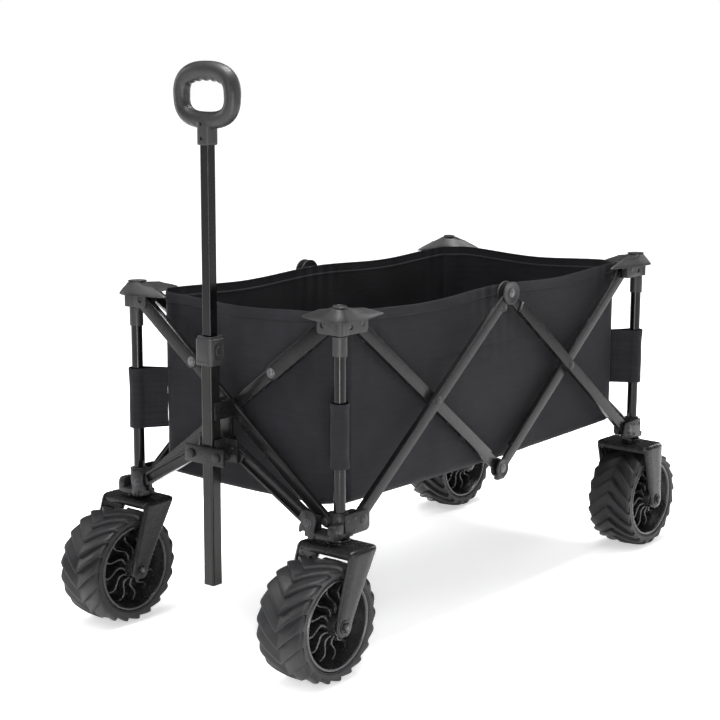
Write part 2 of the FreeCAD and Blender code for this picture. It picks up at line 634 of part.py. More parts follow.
# the yoke is a square sleeve that turns on the cheeks and guides the handle's tube
sleeve = square_bar(f"2 * {SLEEVE_OUT}", "outer_round", f"{TILT_Z} - yoke_half_z", "2 * yoke_half_z")
front_plate = span_box(("-yoke_half_x", "yoke_half_x"),
                       (f"-{SLEEVE_OUT} - plate_thick", f"-{SLEEVE_OUT} + slide_gap"),
                       (f"{TILT_Z} - yoke_half_z", f"{TILT_Z} + yoke_half_z"))
trunnions = [
    cylinder("x", "pin_dia / 2", (start, "0", TILT_Z), f"{CHEEK_OUT} - {SLEEVE_IN}")
    for start in (SLEEVE_IN, f"-{CHEEK_OUT}")
]
guide = square_bar(f"2 * {SLEEVE_IN}", "outer_round", f"{TILT_Z} - 2 * yoke_half_z", "4 * yoke_half_z")
plate_bolts = [
    cylinder("y", "pin_head_dia / 2",
             (f"{sign} * yoke_bolt_x", f"-{SLEEVE_OUT} - plate_thick - bolt_head_thick", TILT_Z),
             "bolt_head_thick")
    for sign in (-1, 1)
]
yoke = cut(fuse(sleeve, front_plate, *trunnions), guide)
place(node("handle_yoke", group(yoke, *plate_bolts)), ("0", HANDLE_Y, "0"))

outer_length = "collar_low + hidden_run - outer_low"
outer_tube = cut(
    square_bar("outer_side", "outer_round", "outer_low", outer_length),
    square_bar("outer_side - 2 * handle_wall", "outer_round - handle_wall", "outer_low + end_wall",
               outer_length),
)
place(node("handle_outer_tube", group(outer_tube)), ("0", HANDLE_Y, "0"))

collar_length = "collar_top - collar_low"
button_z = "(collar_low + collar_top) / 2"
collar = cut(
    square_bar("collar_side", "collar_round", "collar_low", collar_length),
    square_bar("outer_side", "outer_round", "collar_low", "hidden_run"),
    square_bar("inner_side + 2 * slide_gap", "inner_round + slide_gap", "collar_low", collar_length),
    cylinder("x", "button_dia / 2 + face_gap", ("collar_side / 2 - button_seat", "0", button_z),
             "2 * button_seat"),
)
place(node("handle_collar", group(collar)), ("0", HANDLE_Y, "0"))
button = cylinder("x", "button_dia / 2", ("collar_side / 2 - button_root", "0", button_z),
                  "button_root + button_out")
place(node("release_button", group(button)), ("0", HANDLE_Y, "0"))

inner_length = "neck_low + hidden_run - inner_low"
inner_tube = cut(
    square_bar("inner_side", "inner_round", "inner_low", inner_length),
    square_bar("inner_side - 2 * handle_wall", "inner_round - handle_wall", "inner_low",
               f"{inner_length} - end_wall"),
)
place(node("handle_inner_tube", group(inner_tube)), ("0", HANDLE_Y, "0"))

# the grip is a flattened ring on a socketed neck
RING = "((grip_top - grip_low - grip_dia) / 2)"
RING_Z = "((grip_top + grip_low) / 2)"
RUN = f"((grip_width - grip_dia) / 2 - {RING})"
halves = []
for sign in (-1, 1):
    bend = doc.addObject("Part::Torus", "Bend")
    bind(bend, "Radius1", RING)
    bind(bend, "Radius2", "grip_dia / 2")
    bend.Angle3 = 180
    # the half ring is made in XY from +X round to -X; it is stood up and turned to bow outwards
    turn = FreeCAD.Rotation(FreeCAD.Vector(1, 0, 0), 90) * FreeCAD.Rotation(FreeCAD.Vector(0, 0, 1),
                                                                            -90 * sign)
    bend.Placement = FreeCAD.Placement(FreeCAD.Vector(), turn)
    place(bend, (f"{sign} * {RUN}", "0", RING_Z))
    halves.append(bend)
rails = [
    cylinder("x", "grip_dia / 2", (f"-{RUN}", "0", f"{RING_Z} + {sign} * {RING}"), f"2 * {RUN}")
    for sign in (-1, 1)
]
neck = square_bar("neck_side", "neck_round", "neck_low", "grip_low + grip_dia / 2 - neck_low")
socket = square_bar("inner_side", "inner_round", "neck_low", "hidden_run")
place(node("handle_grip", cut(fuse(*halves, *rails, neck), socket)), ("0", HANDLE_Y, "0"))


# ---------------------------------------------------------------- bag

BAG_X = f"({HALF_X} - bag_inset_x)"
BAG_Y = "(post_gap_y / 2 - bag_inset_y)"


def bag_prism(inset, low, top):
    """The bag's plan, an oblong with its corners cut off at 45 degrees, as a solid that far inside."""
    oblong = span_box(
        (f"-{BAG_X} + {inset}", f"{BAG_X} - {inset}"),
        (f"{SHIFT_Y} - {BAG_Y} + {inset}", f"{SHIFT_Y} + {BAG_Y} - {inset}"),
        (low, top),
    )
    reach = f"({DIAMOND} - sqrt(2) * {inset})"
    diamond = box(("0", "0", "0"), (f"sqrt(2) * {reach}", f"sqrt(2) * {reach}", f"{top} - {low}"))
    diamond.Placement = FreeCAD.Placement(FreeCAD.Vector(), FreeCAD.Rotation(TURN["z"], 45))
    place(diamond, ("0", f"{SHIFT_Y} - {reach}", low))
    return common(oblong, diamond)


# the half diagonal of the square that cuts the corners
DIAMOND = f"({BAG_X} + {BAG_Y} - bag_corner)"
STRAIGHT_Y = f"({BAG_Y} - bag_corner)"

for side, sign in (("right", 1), ("left", -1)):
    wall_x = (f"{BAG_X} - bag_wall", BAG_X) if sign > 0 else (f"-{BAG_X}", f"-{BAG_X} + bag_wall")
    wall_y = (f"{SHIFT_Y} - {STRAIGHT_Y} + bag_wall", f"{SHIFT_Y} + {STRAIGHT_Y} - bag_wall")
    node(f"bag_side_{side}", span_box(wall_x, wall_y, ("bag_low", "bag_top")))
    floor_x = ("face_gap", BAG_X) if sign > 0 else (f"-{BAG_X}", "-face_gap")
    half_floor = span_box(floor_x, (f"{SHIFT_Y} - {BAG_Y}", f"{SHIFT_Y} + {BAG_Y}"), ("bag_low", "bag_top"))
    floor = bag_prism("(bag_wall + face_gap)", "bag_low", "(bag_low + floor_thick)")
    node(f"bag_floor_{side}", common(floor, half_floor))

# the end walls turn the corners and meet the side walls
for end, sign in (("front", -1), ("rear", 1)):
    shell = cut(bag_prism("0", "bag_low", "bag_top"), bag_prism("bag_wall", "bag_low", "bag_top"))
    near = f"{SHIFT_Y} + {sign} * ({STRAIGHT_Y} - bag_wall)"
    far = f"{SHIFT_Y} + {sign} * {BAG_Y}"
    zone_y = (far, near) if sign < 0 else (near, far)
    zone = span_box((f"-{BAG_X}", BAG_X), zone_y, ("bag_low", "bag_top"))
    node(f"bag_{end}", common(shell, zone))


# ---------------------------------------------------------------- build and write

doc.recompute()
for item in doc.Objects:
    if "Invalid" in item.State or "Error" in item.State:
        raise RuntimeError(f"{item.Label} failed: {item.State}")
for item in nodes:
    if item.Shape.isNull() or not item.Shape.isValid():
        raise RuntimeError(f"{item.Label} has no valid shape")

os.makedirs("parts", exist_ok=True)
for item in nodes:
    item.Shape.exportStep(f"parts/{item.Label}.step")
print(len(nodes), "sub-parts")
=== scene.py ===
import math

import bmesh
import bpy
from mathutils import Matrix, Vector


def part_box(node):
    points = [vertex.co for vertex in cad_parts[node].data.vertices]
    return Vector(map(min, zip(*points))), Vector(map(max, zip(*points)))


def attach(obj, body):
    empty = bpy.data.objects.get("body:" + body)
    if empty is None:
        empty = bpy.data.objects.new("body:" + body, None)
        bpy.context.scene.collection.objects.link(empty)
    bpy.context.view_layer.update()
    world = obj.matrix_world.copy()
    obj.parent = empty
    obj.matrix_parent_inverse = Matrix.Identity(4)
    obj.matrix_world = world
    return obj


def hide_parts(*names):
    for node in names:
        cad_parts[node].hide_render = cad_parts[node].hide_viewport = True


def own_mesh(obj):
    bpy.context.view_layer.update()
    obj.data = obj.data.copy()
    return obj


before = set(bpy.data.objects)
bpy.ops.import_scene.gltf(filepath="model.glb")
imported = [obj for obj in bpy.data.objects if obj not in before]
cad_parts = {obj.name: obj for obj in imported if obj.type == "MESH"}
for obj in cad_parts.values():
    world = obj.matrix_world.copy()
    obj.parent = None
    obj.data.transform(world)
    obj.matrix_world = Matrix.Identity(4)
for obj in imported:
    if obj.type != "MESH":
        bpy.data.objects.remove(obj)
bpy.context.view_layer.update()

bl_info = {
    "name": "Folding camp wagon",
    "version": (1, 0, 0),
    "blender": (4, 5, 0),
    "location": "3D View > Sidebar > Wagon",
    "description": "Models a folding wagon with a fabric box, crossed bars, casters and a draw handle",
    "category": "Add Mesh",
}

# Metres, +Z up, +X to the wagon's right, +Y to its rear. The wagon stands on z = 0.

CORNERS = {"front_right": (1, -1), "front_left": (-1, -1), "rear_right": (1, 1), "rear_left": (-1, 1)}
SIDES = {"right": 1, "left": -1}


def middle_of(node):
    low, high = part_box(node)
    return (low + high) / 2


POSTS = {corner: middle_of("post_" + corner) for corner in CORNERS}
HALF_X = POSTS["front_right"].x
FRONT_Y = POSTS["front_right"].y
REAR_Y = POSTS["rear_right"].y
HANDLE_Y = middle_of("handle_outer_tube").y
AXLE_Z = 0.095
CAP_LOW, CAP_EAVES = 0.528, 0.5545
CROWN_Z = 0.5708
PLATE_X = 0.0172
BAR_END = 0.010


# ---------------------------------------------------------------- sizes and colours

def length(name, default, description):
    """A size in metres for the sidebar."""
    return bpy.props.FloatProperty(name=name, description=description, default=default, min=0.0,
                                   unit="LENGTH", subtype="DISTANCE")


def colour(name, default, description):
    """A base colour for the sidebar."""
    return bpy.props.FloatVectorProperty(name=name, description=description, default=default, size=3,
                                         min=0.0, max=1.0, subtype="COLOR")


class WagonSizes(bpy.types.PropertyGroup):
    bar_width: length("Bar width", 0.020, "Width of the crossed flat bars")
    bar_thick: length("Bar thickness", 0.010, "Thickness of the crossed flat bars")
    bar_round: length("Bar rounding", 0.0022, "Radius of the bars' long edges")
    layer_gap: length("Layer gap", 0.001, "Gap between the outer and the inner layer of bars")
    lap: length("Lap", 0.047, "Half-thick length of a bar at a middle hinge")
    side_offset: length("Side pivot offset", 0.038, "From a post to the pivots of the long sides")
    end_offset: length("End pivot offset", 0.020, "From a post to the pivots of the ends")
    cover_out: length("Cover plate", 0.0118, "From a post's axis to the outer face of a cap's block")
    hem: length("Hem", 0.016, "Height of the hem round the bag's rim")
    rim_sag: length("Rim sag", 0.007, "How far the rim dips between its supports")
    cloth: length("Cloth", 0.0022, "Thickness of the bag's cloth")
    sleeve_low: length("Sleeve foot", 0.322, "Lower edge of the sleeves round the posts")
    sleeve_top: length("Sleeve top", 0.424, "Upper edge of the sleeves round the posts")
    lug_count: bpy.props.IntProperty(name="Tyre lugs", description="Chevron lugs round each tyre", default=21)
    lug_depth: length("Lug depth", 0.0054, "Height of a lug over the groove before it")
    vane_count: bpy.props.IntProperty(name="Rim vanes", description="Curved vanes in each rim", default=12)


class WagonColours(bpy.types.PropertyGroup):
    paint: colour("Bar paint", (0.0070, 0.0070, 0.0074), "Powder coat on the bars")
    gloss: colour("Tube enamel", (0.0030, 0.0030, 0.0034), "Enamel on the posts and rods")
    fork: colour("Fork paint", (0.0095, 0.0095, 0.0100), "Powder coat on the forks")
    cap: colour("Cap plastic", (0.019, 0.019, 0.0195), "Moulded corner caps")
    bracket: colour("Bracket plastic", (0.0100, 0.0100, 0.0108), "Brackets at the posts' feet")
    grip: colour("Grip plastic", (0.021, 0.021, 0.022), "Moulded grip and lock collar")
    tyre: colour("Tyre rubber", (0.0150, 0.0150, 0.0160), "Tyres")
    rim: colour("Rim plastic", (0.010, 0.010, 0.0108), "Wheel rims")
    fabric: colour("Bag fabric", (0.0078, 0.0077, 0.0096), "Woven cloth of the bag")
    screw: colour("Fixings", (0.10, 0.10, 0.105), "Bolts, screws and rivets")
    floor: colour("Floor", (0.93, 0.93, 0.93), "Studio floor")


def sizes():
    return bpy.context.scene.wagon_sizes


def colours():
    return bpy.context.scene.wagon_colours


# ---------------------------------------------------------------- materials

def noise(tree, where, scale, detail=3.0, rough=0.55):
    node = tree.nodes.new("ShaderNodeTexNoise")
    node.inputs["Scale"].default_value = scale
    node.inputs["Detail"].default_value = detail
    node.inputs["Roughness"].default_value = rough
    tree.links.new(where, node.inputs["Vector"])
    return node.outputs["Fac"]


def spread(tree, value, low, high, start=0.3, end=0.7):
    """A value from start to end becomes one from low to high."""
    node = tree.nodes.new("ShaderNodeMapRange")
    for name, number in (("From Min", start), ("From Max", end), ("To Min", low), ("To Max", high)):
        node.inputs[name].default_value = number
    tree.links.new(value, node.inputs["Value"])
    return node.outputs["Result"]


def two_tone(tree, value, dark, light):
    node = tree.nodes.new("ShaderNodeValToRGB")
    node.color_ramp.elements[0].position = 0.32
    node.color_ramp.elements[0].color = (*dark, 1.0)
    node.color_ramp.elements[1].position = 0.68
    node.color_ramp.elements[1].color = (*light, 1.0)
    tree.links.new(value, node.inputs["Fac"])
    return node.outputs["Color"]


def raised(tree, height, depth, strength=1.0, under=None):
    node = tree.nodes.new("ShaderNodeBump")
    node.inputs["Distance"].default_value = depth
    node.inputs["Strength"].default_value = strength
    tree.links.new(height, node.inputs["Height"])
    if under:
        tree.links.new(under, node.inputs["Normal"])
    return node.outputs["Normal"]


def fresh_material(name):
    """An empty material with its shader and its Object coordinates."""
    made = bpy.data.materials.new(name)
    made.use_nodes = True
    tree = made.node_tree
    where = tree.nodes.new("ShaderNodeTexCoord")
    return made, tree, tree.nodes["Principled BSDF"], where


def surface(name, base, roughness, uneven=0.18, patch=26.0, grain=1400.0, grain_depth=0.00008,
            rough_by=0.06, metallic=0.0, shine=0.24, wave=None):
    """A moulded, painted or metal surface: broad mottling, fine grain and a broken gloss."""
    made, tree, shader, where = fresh_material(name)
    spot = where.outputs["Object"]
    broad = noise(tree, spot, patch, 4.0)
    fine = noise(tree, spot, grain, 2.0)
    dark = [channel * (1 - uneven) for channel in base]
    light = [min(1.0, channel * (1 + uneven)) for channel in base]
    tree.links.new(two_tone(tree, broad, dark, light), shader.inputs["Base Color"])
    smear = noise(tree, spot, patch * 2.3, 5.0, 0.65)
    gloss = spread(tree, smear, max(0.02, roughness - rough_by), min(1.0, roughness + rough_by))
    tree.links.new(gloss, shader.inputs["Roughness"])
    shader.inputs["Metallic"].default_value = metallic
    shader.inputs["Specular IOR Level"].default_value = shine
    normal = raised(tree, fine, grain_depth)
    if wave:
        normal = raised(tree, noise(tree, spot, wave[0], 2.0), wave[1], 1.0, normal)
    tree.links.new(normal, shader.inputs["Normal"])
    return made


def woven(name, base):
    """Plain-woven coated cloth on the piece's own UV map, in metres: crossing threads, slubs and creases."""
    made, tree, shader, where = fresh_material(name)
    flat = where.outputs["UV"]
    threads = []
    for direction in ("X", "Y"):
        band = tree.nodes.new("ShaderNodeTexWave")
        band.bands_direction = direction
        band.inputs["Scale"].default_value = 310.0
        band.inputs["Distortion"].default_value = 0.6
        band.inputs["Detail"].default_value = 1.0
        tree.links.new(flat, band.inputs["Vector"])
        threads.append(band.outputs["Fac"])
    cross = tree.nodes.new("ShaderNodeMath")
    cross.operation = "MAXIMUM"
    for socket, thread in zip(cross.inputs, threads):
        tree.links.new(thread, socket)
    slub = tree.nodes.new("ShaderNodeMapping")
    slub.inputs["Scale"].default_value = (9.0, 90.0, 1.0)
    tree.links.new(flat, slub.inputs["Vector"])
    streaks = noise(tree, slub.outputs["Vector"], 2.0, 4.0, 0.6)
    mottled = noise(tree, where.outputs["Object"], 7.0, 4.0, 0.6)
    both = tree.nodes.new("ShaderNodeMath")
    both.operation = "ADD"
    tree.links.new(spread(tree, streaks, 0.0, 0.45), both.inputs[0])
    tree.links.new(spread(tree, mottled, 0.0, 0.55), both.inputs[1])
    dark = [channel * 0.80 for channel in base]
    light = [channel * 1.28 for channel in base]
    tree.links.new(two_tone(tree, both.outputs["Value"], dark, light), shader.inputs["Base Color"])
    tree.links.new(spread(tree, cross.outputs["Value"], 0.82, 0.64, 0.0, 1.0), shader.inputs["Roughness"])
    shader.inputs["Sheen Weight"].default_value = 0.02
    shader.inputs["Sheen Roughness"].default_value = 0.5
    shader.inputs["Specular IOR Level"].default_value = 0.15
    creases = raised(tree, noise(tree, where.outputs["Object"], 9.0, 3.0, 0.5), 0.004, 0.35)
    tree.links.new(raised(tree, cross.outputs["Value"], 0.00022, 0.8, creases), shader.inputs["Normal"])
    return made


MATERIALS = {}


def make_materials():
    tone = colours()
    MATERIALS.update(
        frame_paint=surface("bar_powder_coat", tone.paint, 0.24, shine=0.20, wave=(160.0, 0.00006)),
        rod_steel=surface("tube_enamel", tone.gloss, 0.12, grain_depth=0.00002, rough_by=0.03, shine=0.22),
        handle_paint=surface("handle_tube_enamel", (0.0075, 0.0071, 0.0067), 0.20, grain_depth=0.00003,
                             rough_by=0.05, shine=0.22),
        fork_paint=surface("fork_powder_coat", tone.fork, 0.27, wave=(220.0, 0.00005), shine=0.21),
        bracket_plastic=surface("bracket_moulding", tone.bracket, 0.38, wave=(500.0, 0.00006), shine=0.22),
        cap_plastic=surface("cap_moulding", tone.cap, 0.44, wave=(420.0, 0.0001), shine=0.30),
        collar_plastic=surface("collar_moulding", tone.grip, 0.44, wave=(500.0, 0.00008), shine=0.26),
        grip_plastic=surface("grip_moulding", tone.grip, 0.40, wave=(380.0, 0.00012), shine=0.28),
        tyre_rubber=surface("tyre_rubber", tone.tyre, 0.46, uneven=0.25, wave=(330.0, 0.0002), rough_by=0.09,
                            shine=0.21),
        rim_plastic=surface("rim_moulding", tone.rim, 0.28, wave=(260.0, 0.00006), shine=0.55),
        bag_fabric=woven("bag_cloth", tone.fabric),
        screw=surface("fixing_steel", tone.screw, 0.34, metallic=0.85, wave=(900.0, 0.00003)),
        dark_screw=surface("black_fixing", (0.035, 0.035, 0.037), 0.36, metallic=0.5, wave=(900.0, 0.00003)),
    )


# ---------------------------------------------------------------- modelling

def object_mode():
    if bpy.context.object and bpy.context.object.mode != "OBJECT":
        bpy.ops.object.mode_set(mode="OBJECT")


def choose(obj):
    """Only this object is selected, and it is the active one."""
    object_mode()
    bpy.ops.object.select_all(action="DESELECT")
    obj.select_set(True)
    bpy.context.view_layer.objects.active = obj
    return obj


def clear():
    object_mode()
    bpy.ops.object.select_all(action="DESELECT")


def settle(name):
    """The new primitive with its name, and its place written into its mesh."""
    obj = bpy.context.object
    obj.name = obj.data.name = name
    bpy.ops.object.transform_apply(location=True, rotation=True, scale=True)
    return obj


def block(low, high, name="block"):
    clear()
    low, high = Vector(low), Vector(high)
    low, high = Vector(map(min, low, high)), Vector(map(max, low, high))
    bpy.ops.mesh.primitive_cube_add(size=1.0, location=(low + high) / 2, scale=high - low)
    return settle(name)


TURNS = {"x": (0.0, math.pi / 2, 0.0), "y": (math.pi / 2, 0.0, 0.0), "z": (0.0, 0.0, 0.0)}


def drum(axis, centre, radius, depth, sides=32, name="drum"):
    clear()
    bpy.ops.mesh.primitive_cylinder_add(vertices=sides, radius=radius, depth=depth, location=centre,
                                        rotation=TURNS[axis])
    return settle(name)


def edit(obj, kind, test):
    """Edit mode with only the points, edges or faces that pass the test selected."""
    choose(obj)
    bpy.ops.object.mode_set(mode="EDIT")
    bpy.ops.mesh.select_mode(type=kind)
    bpy.ops.mesh.select_all(action="DESELECT")
    mesh = bmesh.from_edit_mesh(obj.data)
    items = {"VERT": mesh.verts, "EDGE": mesh.edges, "FACE": mesh.faces}[kind]
    for item in items:
        if test(item):
            item.select_set(True)
    mesh.select_flush_mode()
    bmesh.update_edit_mesh(obj.data)


def done(obj):
    bpy.ops.object.mode_set(mode="OBJECT")
    return obj


def runs_along(edge, axis):
    """Whether an edge is parallel to a main axis."""
    span = edge.verts[1].co - edge.verts[0].co
    return abs(span[axis]) > 0.999 * span.length


def round_edges(obj, axis, width, segments=5, test=lambda edge: True):
    """Bevel the edges that run along one main axis."""
    edit(obj, "EDGE", lambda edge: runs_along(edge, axis) and test(edge))
    bpy.ops.mesh.bevel(offset=width, segments=segments, affect="EDGES", clamp_overlap=True)
    return done(obj)


def modify(obj, kind, **settings):
    """Add a modifier and apply it."""
    choose(obj)
    modifier = obj.modifiers.new(kind.title(), kind)
    for name, value in settings.items():
        setattr(modifier, name, value)
    bpy.ops.object.modifier_apply(modifier=modifier.name)
    return obj


def soften(obj, width, segments=2, angle=32.0):
    return modify(obj, "BEVEL", width=width, segments=segments, limit_method="ANGLE",
                  angle_limit=math.radians(angle), harden_normals=False)


def outwards(obj):
    """Merge doubles and turn all faces out."""
    edit(obj, "VERT", lambda vert: True)
    bpy.ops.mesh.remove_doubles(threshold=0.00002)
    bpy.ops.mesh.select_all(action="SELECT")
    bpy.ops.mesh.normals_make_consistent(inside=False)
    return done(obj)


def paint(obj, material):
    obj.data.materials.clear()
    obj.data.materials.append(MATERIALS[material])
    return obj


def join(name, *parts):
    """One object out of several, each with the materials that it has."""
    clear()
    for part in parts:
        part.select_set(True)
    bpy.context.view_layer.objects.active = parts[0]
    if len(parts) > 1:
        bpy.ops.object.join()
    parts[0].name = parts[0].data.name = name
    return parts[0]


def twin(obj, matrix, name):
    """A copy with its own mesh, moved, turned or mirrored."""
    other = obj.copy()
    other.data = obj.data.copy()
    bpy.context.scene.collection.objects.link(other)
    other.data.transform(matrix)
    if matrix.determinant() < 0:
        other.data.flip_normals()
    other.name = other.data.name = name
    return other


def drop(*objects):
    for obj in objects:
        bpy.data.objects.remove(obj)


def set_down(body, corner, name):
    """A shape modelled round the origin, mirrored as its corner needs and moved to the post there."""
    out, away = CORNERS[corner]
    place = Matrix.Translation((POSTS[corner].x, POSTS[corner].y, 0)) @ Matrix.Diagonal((out, away, 1, 1))
    placed = twin(body, place, name)
    drop(body)
    return placed


def piece(obj, body, slot, replaced=(), angle=38.0):
    """Smooth a finished piece, hang it on its body and hide the CAD parts that it replaces."""
    choose(obj)
    bpy.ops.object.shade_smooth_by_angle(angle=math.radians(angle))
    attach(obj, body)
    if replaced:
        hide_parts(*replaced)
    return obj


def sheet_of(name, columns, rows, place_at):
    """A grid of quads whose points go where place_at(column, row) says."""
    clear()
    bpy.ops.mesh.primitive_grid_add(x_subdivisions=columns - 1, y_subdivisions=rows - 1, size=2.0)
    obj = settle(name)
    for vert in obj.data.vertices:
        column = round((vert.co.x + 1) / 2 * (columns - 1))
        row = round((vert.co.y + 1) / 2 * (rows - 1))
        vert.co = place_at(column, row)
    return obj


def face_out(obj, outwardness):
    """Turn every face over if, summed over the faces, they point inwards."""
    if sum(map(outwardness, obj.data.polygons)) < 0:
        obj.data.flip_normals()


def cloth_map(obj, across, up):
    """A UV map in metres: the piece's distance along one direction and along another."""
    layer = obj.data.uv_layers.active or obj.data.uv_layers.new(name="cloth")
    layer.name = "cloth"
    for loop in obj.data.loops:
        point = obj.data.vertices[loop.vertex_index].co
        layer.data[loop.index].uv = (across(point), up(point))
    return obj


def ease(value, start, end):
    """A smooth step from 0 at start to 1 at end."""
    share = min(1.0, max(0.0, (value - start) / (end - start)))
    return share * share * (3 - 2 * share)


def spline(points, count):
    """A smooth closed line through points, as count points."""
    found = []
    total = len(points)
    for index in range(count):
        place = index * total / count
        first = int(place)
        share = place - first
        a, b, c, d = (Vector(points[(first + step) % total]) for step in (-1, 0, 1, 2))
        found.append(0.5 * (2 * b + (c - a) * share + (2 * a - 5 * b + 4 * c - d) * share ** 2
                            + (3 * b - a - 3 * c + d) * share ** 3))
    return found


def rivet(axis, centre, outward, radius, height, material="screw", washer=None):
    """A domed head on a face, outward being 1 or -1 along its axis."""
    index = "xyz".index(axis)
    spot = Vector(centre)
    spot[index] += outward * height / 2
    head = drum(axis, spot, radius, height, 24, "rivet")
    far = spot[index] + outward * height / 2
    edit(head, "FACE", lambda face: abs(face.calc_center_median()[index] - far) < 1e-5)
    bpy.ops.mesh.bevel(offset=min(height * 0.8, radius * 0.6), segments=3, affect="EDGES")
    paint(done(head), material)
    if washer:
        spot = Vector(centre)
        spot[index] += outward * 0.0004
        ring = paint(soften(drum(axis, spot, washer, 0.0008, 28, "washer"), 0.0002, 1), material)
        head = join("rivet", head, ring)
    return head


def bore(obj, axis, centre, radius, depth):
    """Cut a round hole of this depth, half of it before the centre and half behind."""
    tool = drum(axis, centre, radius, depth, 28, "bore")
    cutter = obj.modifiers.new("Bore", "BOOLEAN")
    cutter.operation = "DIFFERENCE"
    cutter.object = tool
    cutter.solver = "EXACT"
    choose(obj)
    bpy.ops.object.modifier_apply(modifier=cutter.name)
    drop(tool)
    return obj


def inset_faces(obj, test, *steps):
    """Inset the faces that pass the test, once for each thickness and depth."""
    edit(obj, "FACE", test)
    for thickness, depth in steps:
        bpy.ops.mesh.inset(thickness=thickness, depth=depth)
    return done(obj)


def sunk_screw(obj, axis, face, outward, radius, depth, material="dark_screw"):
    """Bore a recess into a face and seat a cross-slotted screw at its foot. Returns the screw."""
    index = "xyz".index(axis)
    bore(obj, axis, face, radius, 2 * depth)
    seat = Vector(face)
    seat[index] -= outward * (depth - 0.0005)
    head = drum(axis, seat, radius * 0.86, 0.0010, 24, "screw")
    inset_faces(head, lambda item: item.normal[index] * outward > 0.9,
                (radius * 0.34, 0.0), (radius * 0.08, -0.0004))
    return paint(head, material)


def softened(node, width, material, segments=2):
    """A welded copy of a CAD node's mesh with its edges eased."""
    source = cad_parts[node]
    other = source.copy()
    other.data = source.data.copy()
    bpy.context.scene.collection.objects.link(other)
    other.parent = None
    for key in list(other.keys()):
        if key.startswith("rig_"):
            del other[key]
    other.hide_render = other.hide_viewport = False
    edit(other, "VERT", lambda vert: True)
    bpy.ops.mesh.remove_doubles(threshold=0.00001)
    bpy.ops.mesh.select_all(action="SELECT")
    bpy.ops.mesh.dissolve_limited(angle_limit=math.radians(1.0))
    done(other)
    soften(other, width, segments)
    return paint(other, material)


# ---------------------------------------------------------------- crossed bars

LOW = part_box("side_bar_3_right")[0].z + BAR_END
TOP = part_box("side_bar_3_right")[1].z - BAR_END


def flat_bar(span, lap_at=None, lap_sign=1):
    """A bar along X from one pivot to the other, with round ends and eased edges."""
    made = sizes()
    half, thick = made.bar_width / 2, made.bar_thick / 2
    bar = block((-half, -thick, -half), (span + half, thick, half), "bar")
    round_edges(bar, 1, half * 0.98, 7)
    if lap_at is not None:
        inner = made.lap if lap_at == 0 else span - made.lap
        step = 0.0006 if lap_at == 0 else -0.0006
        for place in (inner, inner - step):
            edit(bar, "FACE", lambda face: True)
            bpy.ops.mesh.bisect(plane_co=(place, 0, 0), plane_no=(1, 0, 0))
            done(bar)
        for vert in bar.data.vertices:
            beyond = vert.co.x < inner - 0.0003 if lap_at == 0 else vert.co.x > inner + 0.0003
            if beyond and vert.co.y * lap_sign > 0:
                vert.co.y = -lap_sign * 0.0002
    return soften(bar, made.bar_round, 3, 50)


def along(start, end, out):
    """The matrix that lays a bar modelled along X between two pivots, with its +Y turned out."""
    run = (end - start).normalized()
    up = run.cross(out)
    turn = Matrix((run, out, up)).transposed().to_4x4()
    return Matrix.Translation(start) @ turn


def pin_heads(axis, start, end, shares, plane, sign, far):
    """Heads on both faces of the crossed bars, at these shares of the way between two pivots."""
    heads = []
    for share in shares:
        spot = start.lerp(end, share)
        for way in (1, -1):
            spot["xyz".index(axis)] = plane + sign * way * far
            heads.append(rivet(axis, spot, sign * way, 0.0052, 0.0022, "dark_screw", 0.0072))
    return heads


def make_bars():
    made = sizes()
    layer = (made.layer_gap + made.bar_thick) / 2
    far = made.layer_gap / 2 + made.bar_thick
    span = math.hypot(REAR_Y - FRONT_Y - 2 * made.side_offset, 2 * (TOP - LOW)) / 2
    moulds = {
        None: flat_bar(span),
        ("tip", -1): flat_bar(span, span, -1),
        ("tip", 1): flat_bar(span, span, 1),
        ("foot", -1): flat_bar(span, 0, -1),
        ("foot", 1): flat_bar(span, 0, 1),
    }
    for mould in moulds.values():
        paint(mould, "frame_paint")
    front, rear = FRONT_Y + made.side_offset, REAR_Y - made.side_offset
    halfway = (front + rear) / 2
    for side, sign in SIDES.items():
        out = Vector((sign, 0, 0))
        x = sign * HALF_X
        # name, first pivot, second pivot, layer, which end is lapped, and the pins' places
        plan = (
            ("1", (front, LOW), (halfway, TOP), 1, ("tip", -1), (0.0, 0.5)),
            ("2", (front, TOP), (halfway, LOW), -1, ("tip", 1), (0.0,)),
            ("3", (halfway, TOP), (rear, LOW), 1, ("foot", 1), (0.5, 1.0)),
            ("4", (halfway, LOW), (rear, TOP), -1, ("foot", -1), (1.0,)),
        )
        for number, first, last, which, mould, pins in plan:
            start = Vector((x + sign * which * layer, *first))
            end = Vector((x + sign * which * layer, *last))
            node = f"side_bar_{number}_{side}"
            bar = twin(moulds[mould], along(start, end, out), node + "_tube")
            bar = join(node + "_tube", bar, *pin_heads("x", start, end, pins, x, sign, far))
            piece(bar, node, "frame_paint", (node,))
    inner = HALF_X - made.end_offset
    for end_name, sign in (("front", -1), ("rear", 1)):
        y = FRONT_Y if sign < 0 else REAR_Y
        out = Vector((0, sign, 0))
        plan = (("1", TOP, LOW, 1, (0.0, 0.5, 1.0)), ("2", LOW, TOP, -1, (0.0, 1.0)))
        for number, z0, z1, which, pins in plan:
            start = Vector((-inner, y + sign * which * layer, z0))
            end = Vector((inner, y + sign * which * layer, z1))
            node = f"end_bar_{number}_{end_name}"
            parts = [twin(moulds[None], along(start, end, out), "tube")]
            parts += pin_heads("y", start, end, pins, y, sign, far)
            parts.append(elbow(start, end, number, out, sign, y, which))
            piece(join(node + "_tube", *parts), node, "frame_paint", (node,))
    drop(*moulds.values())
    make_hinges(x_out=HALF_X, far=far, halfway=halfway)


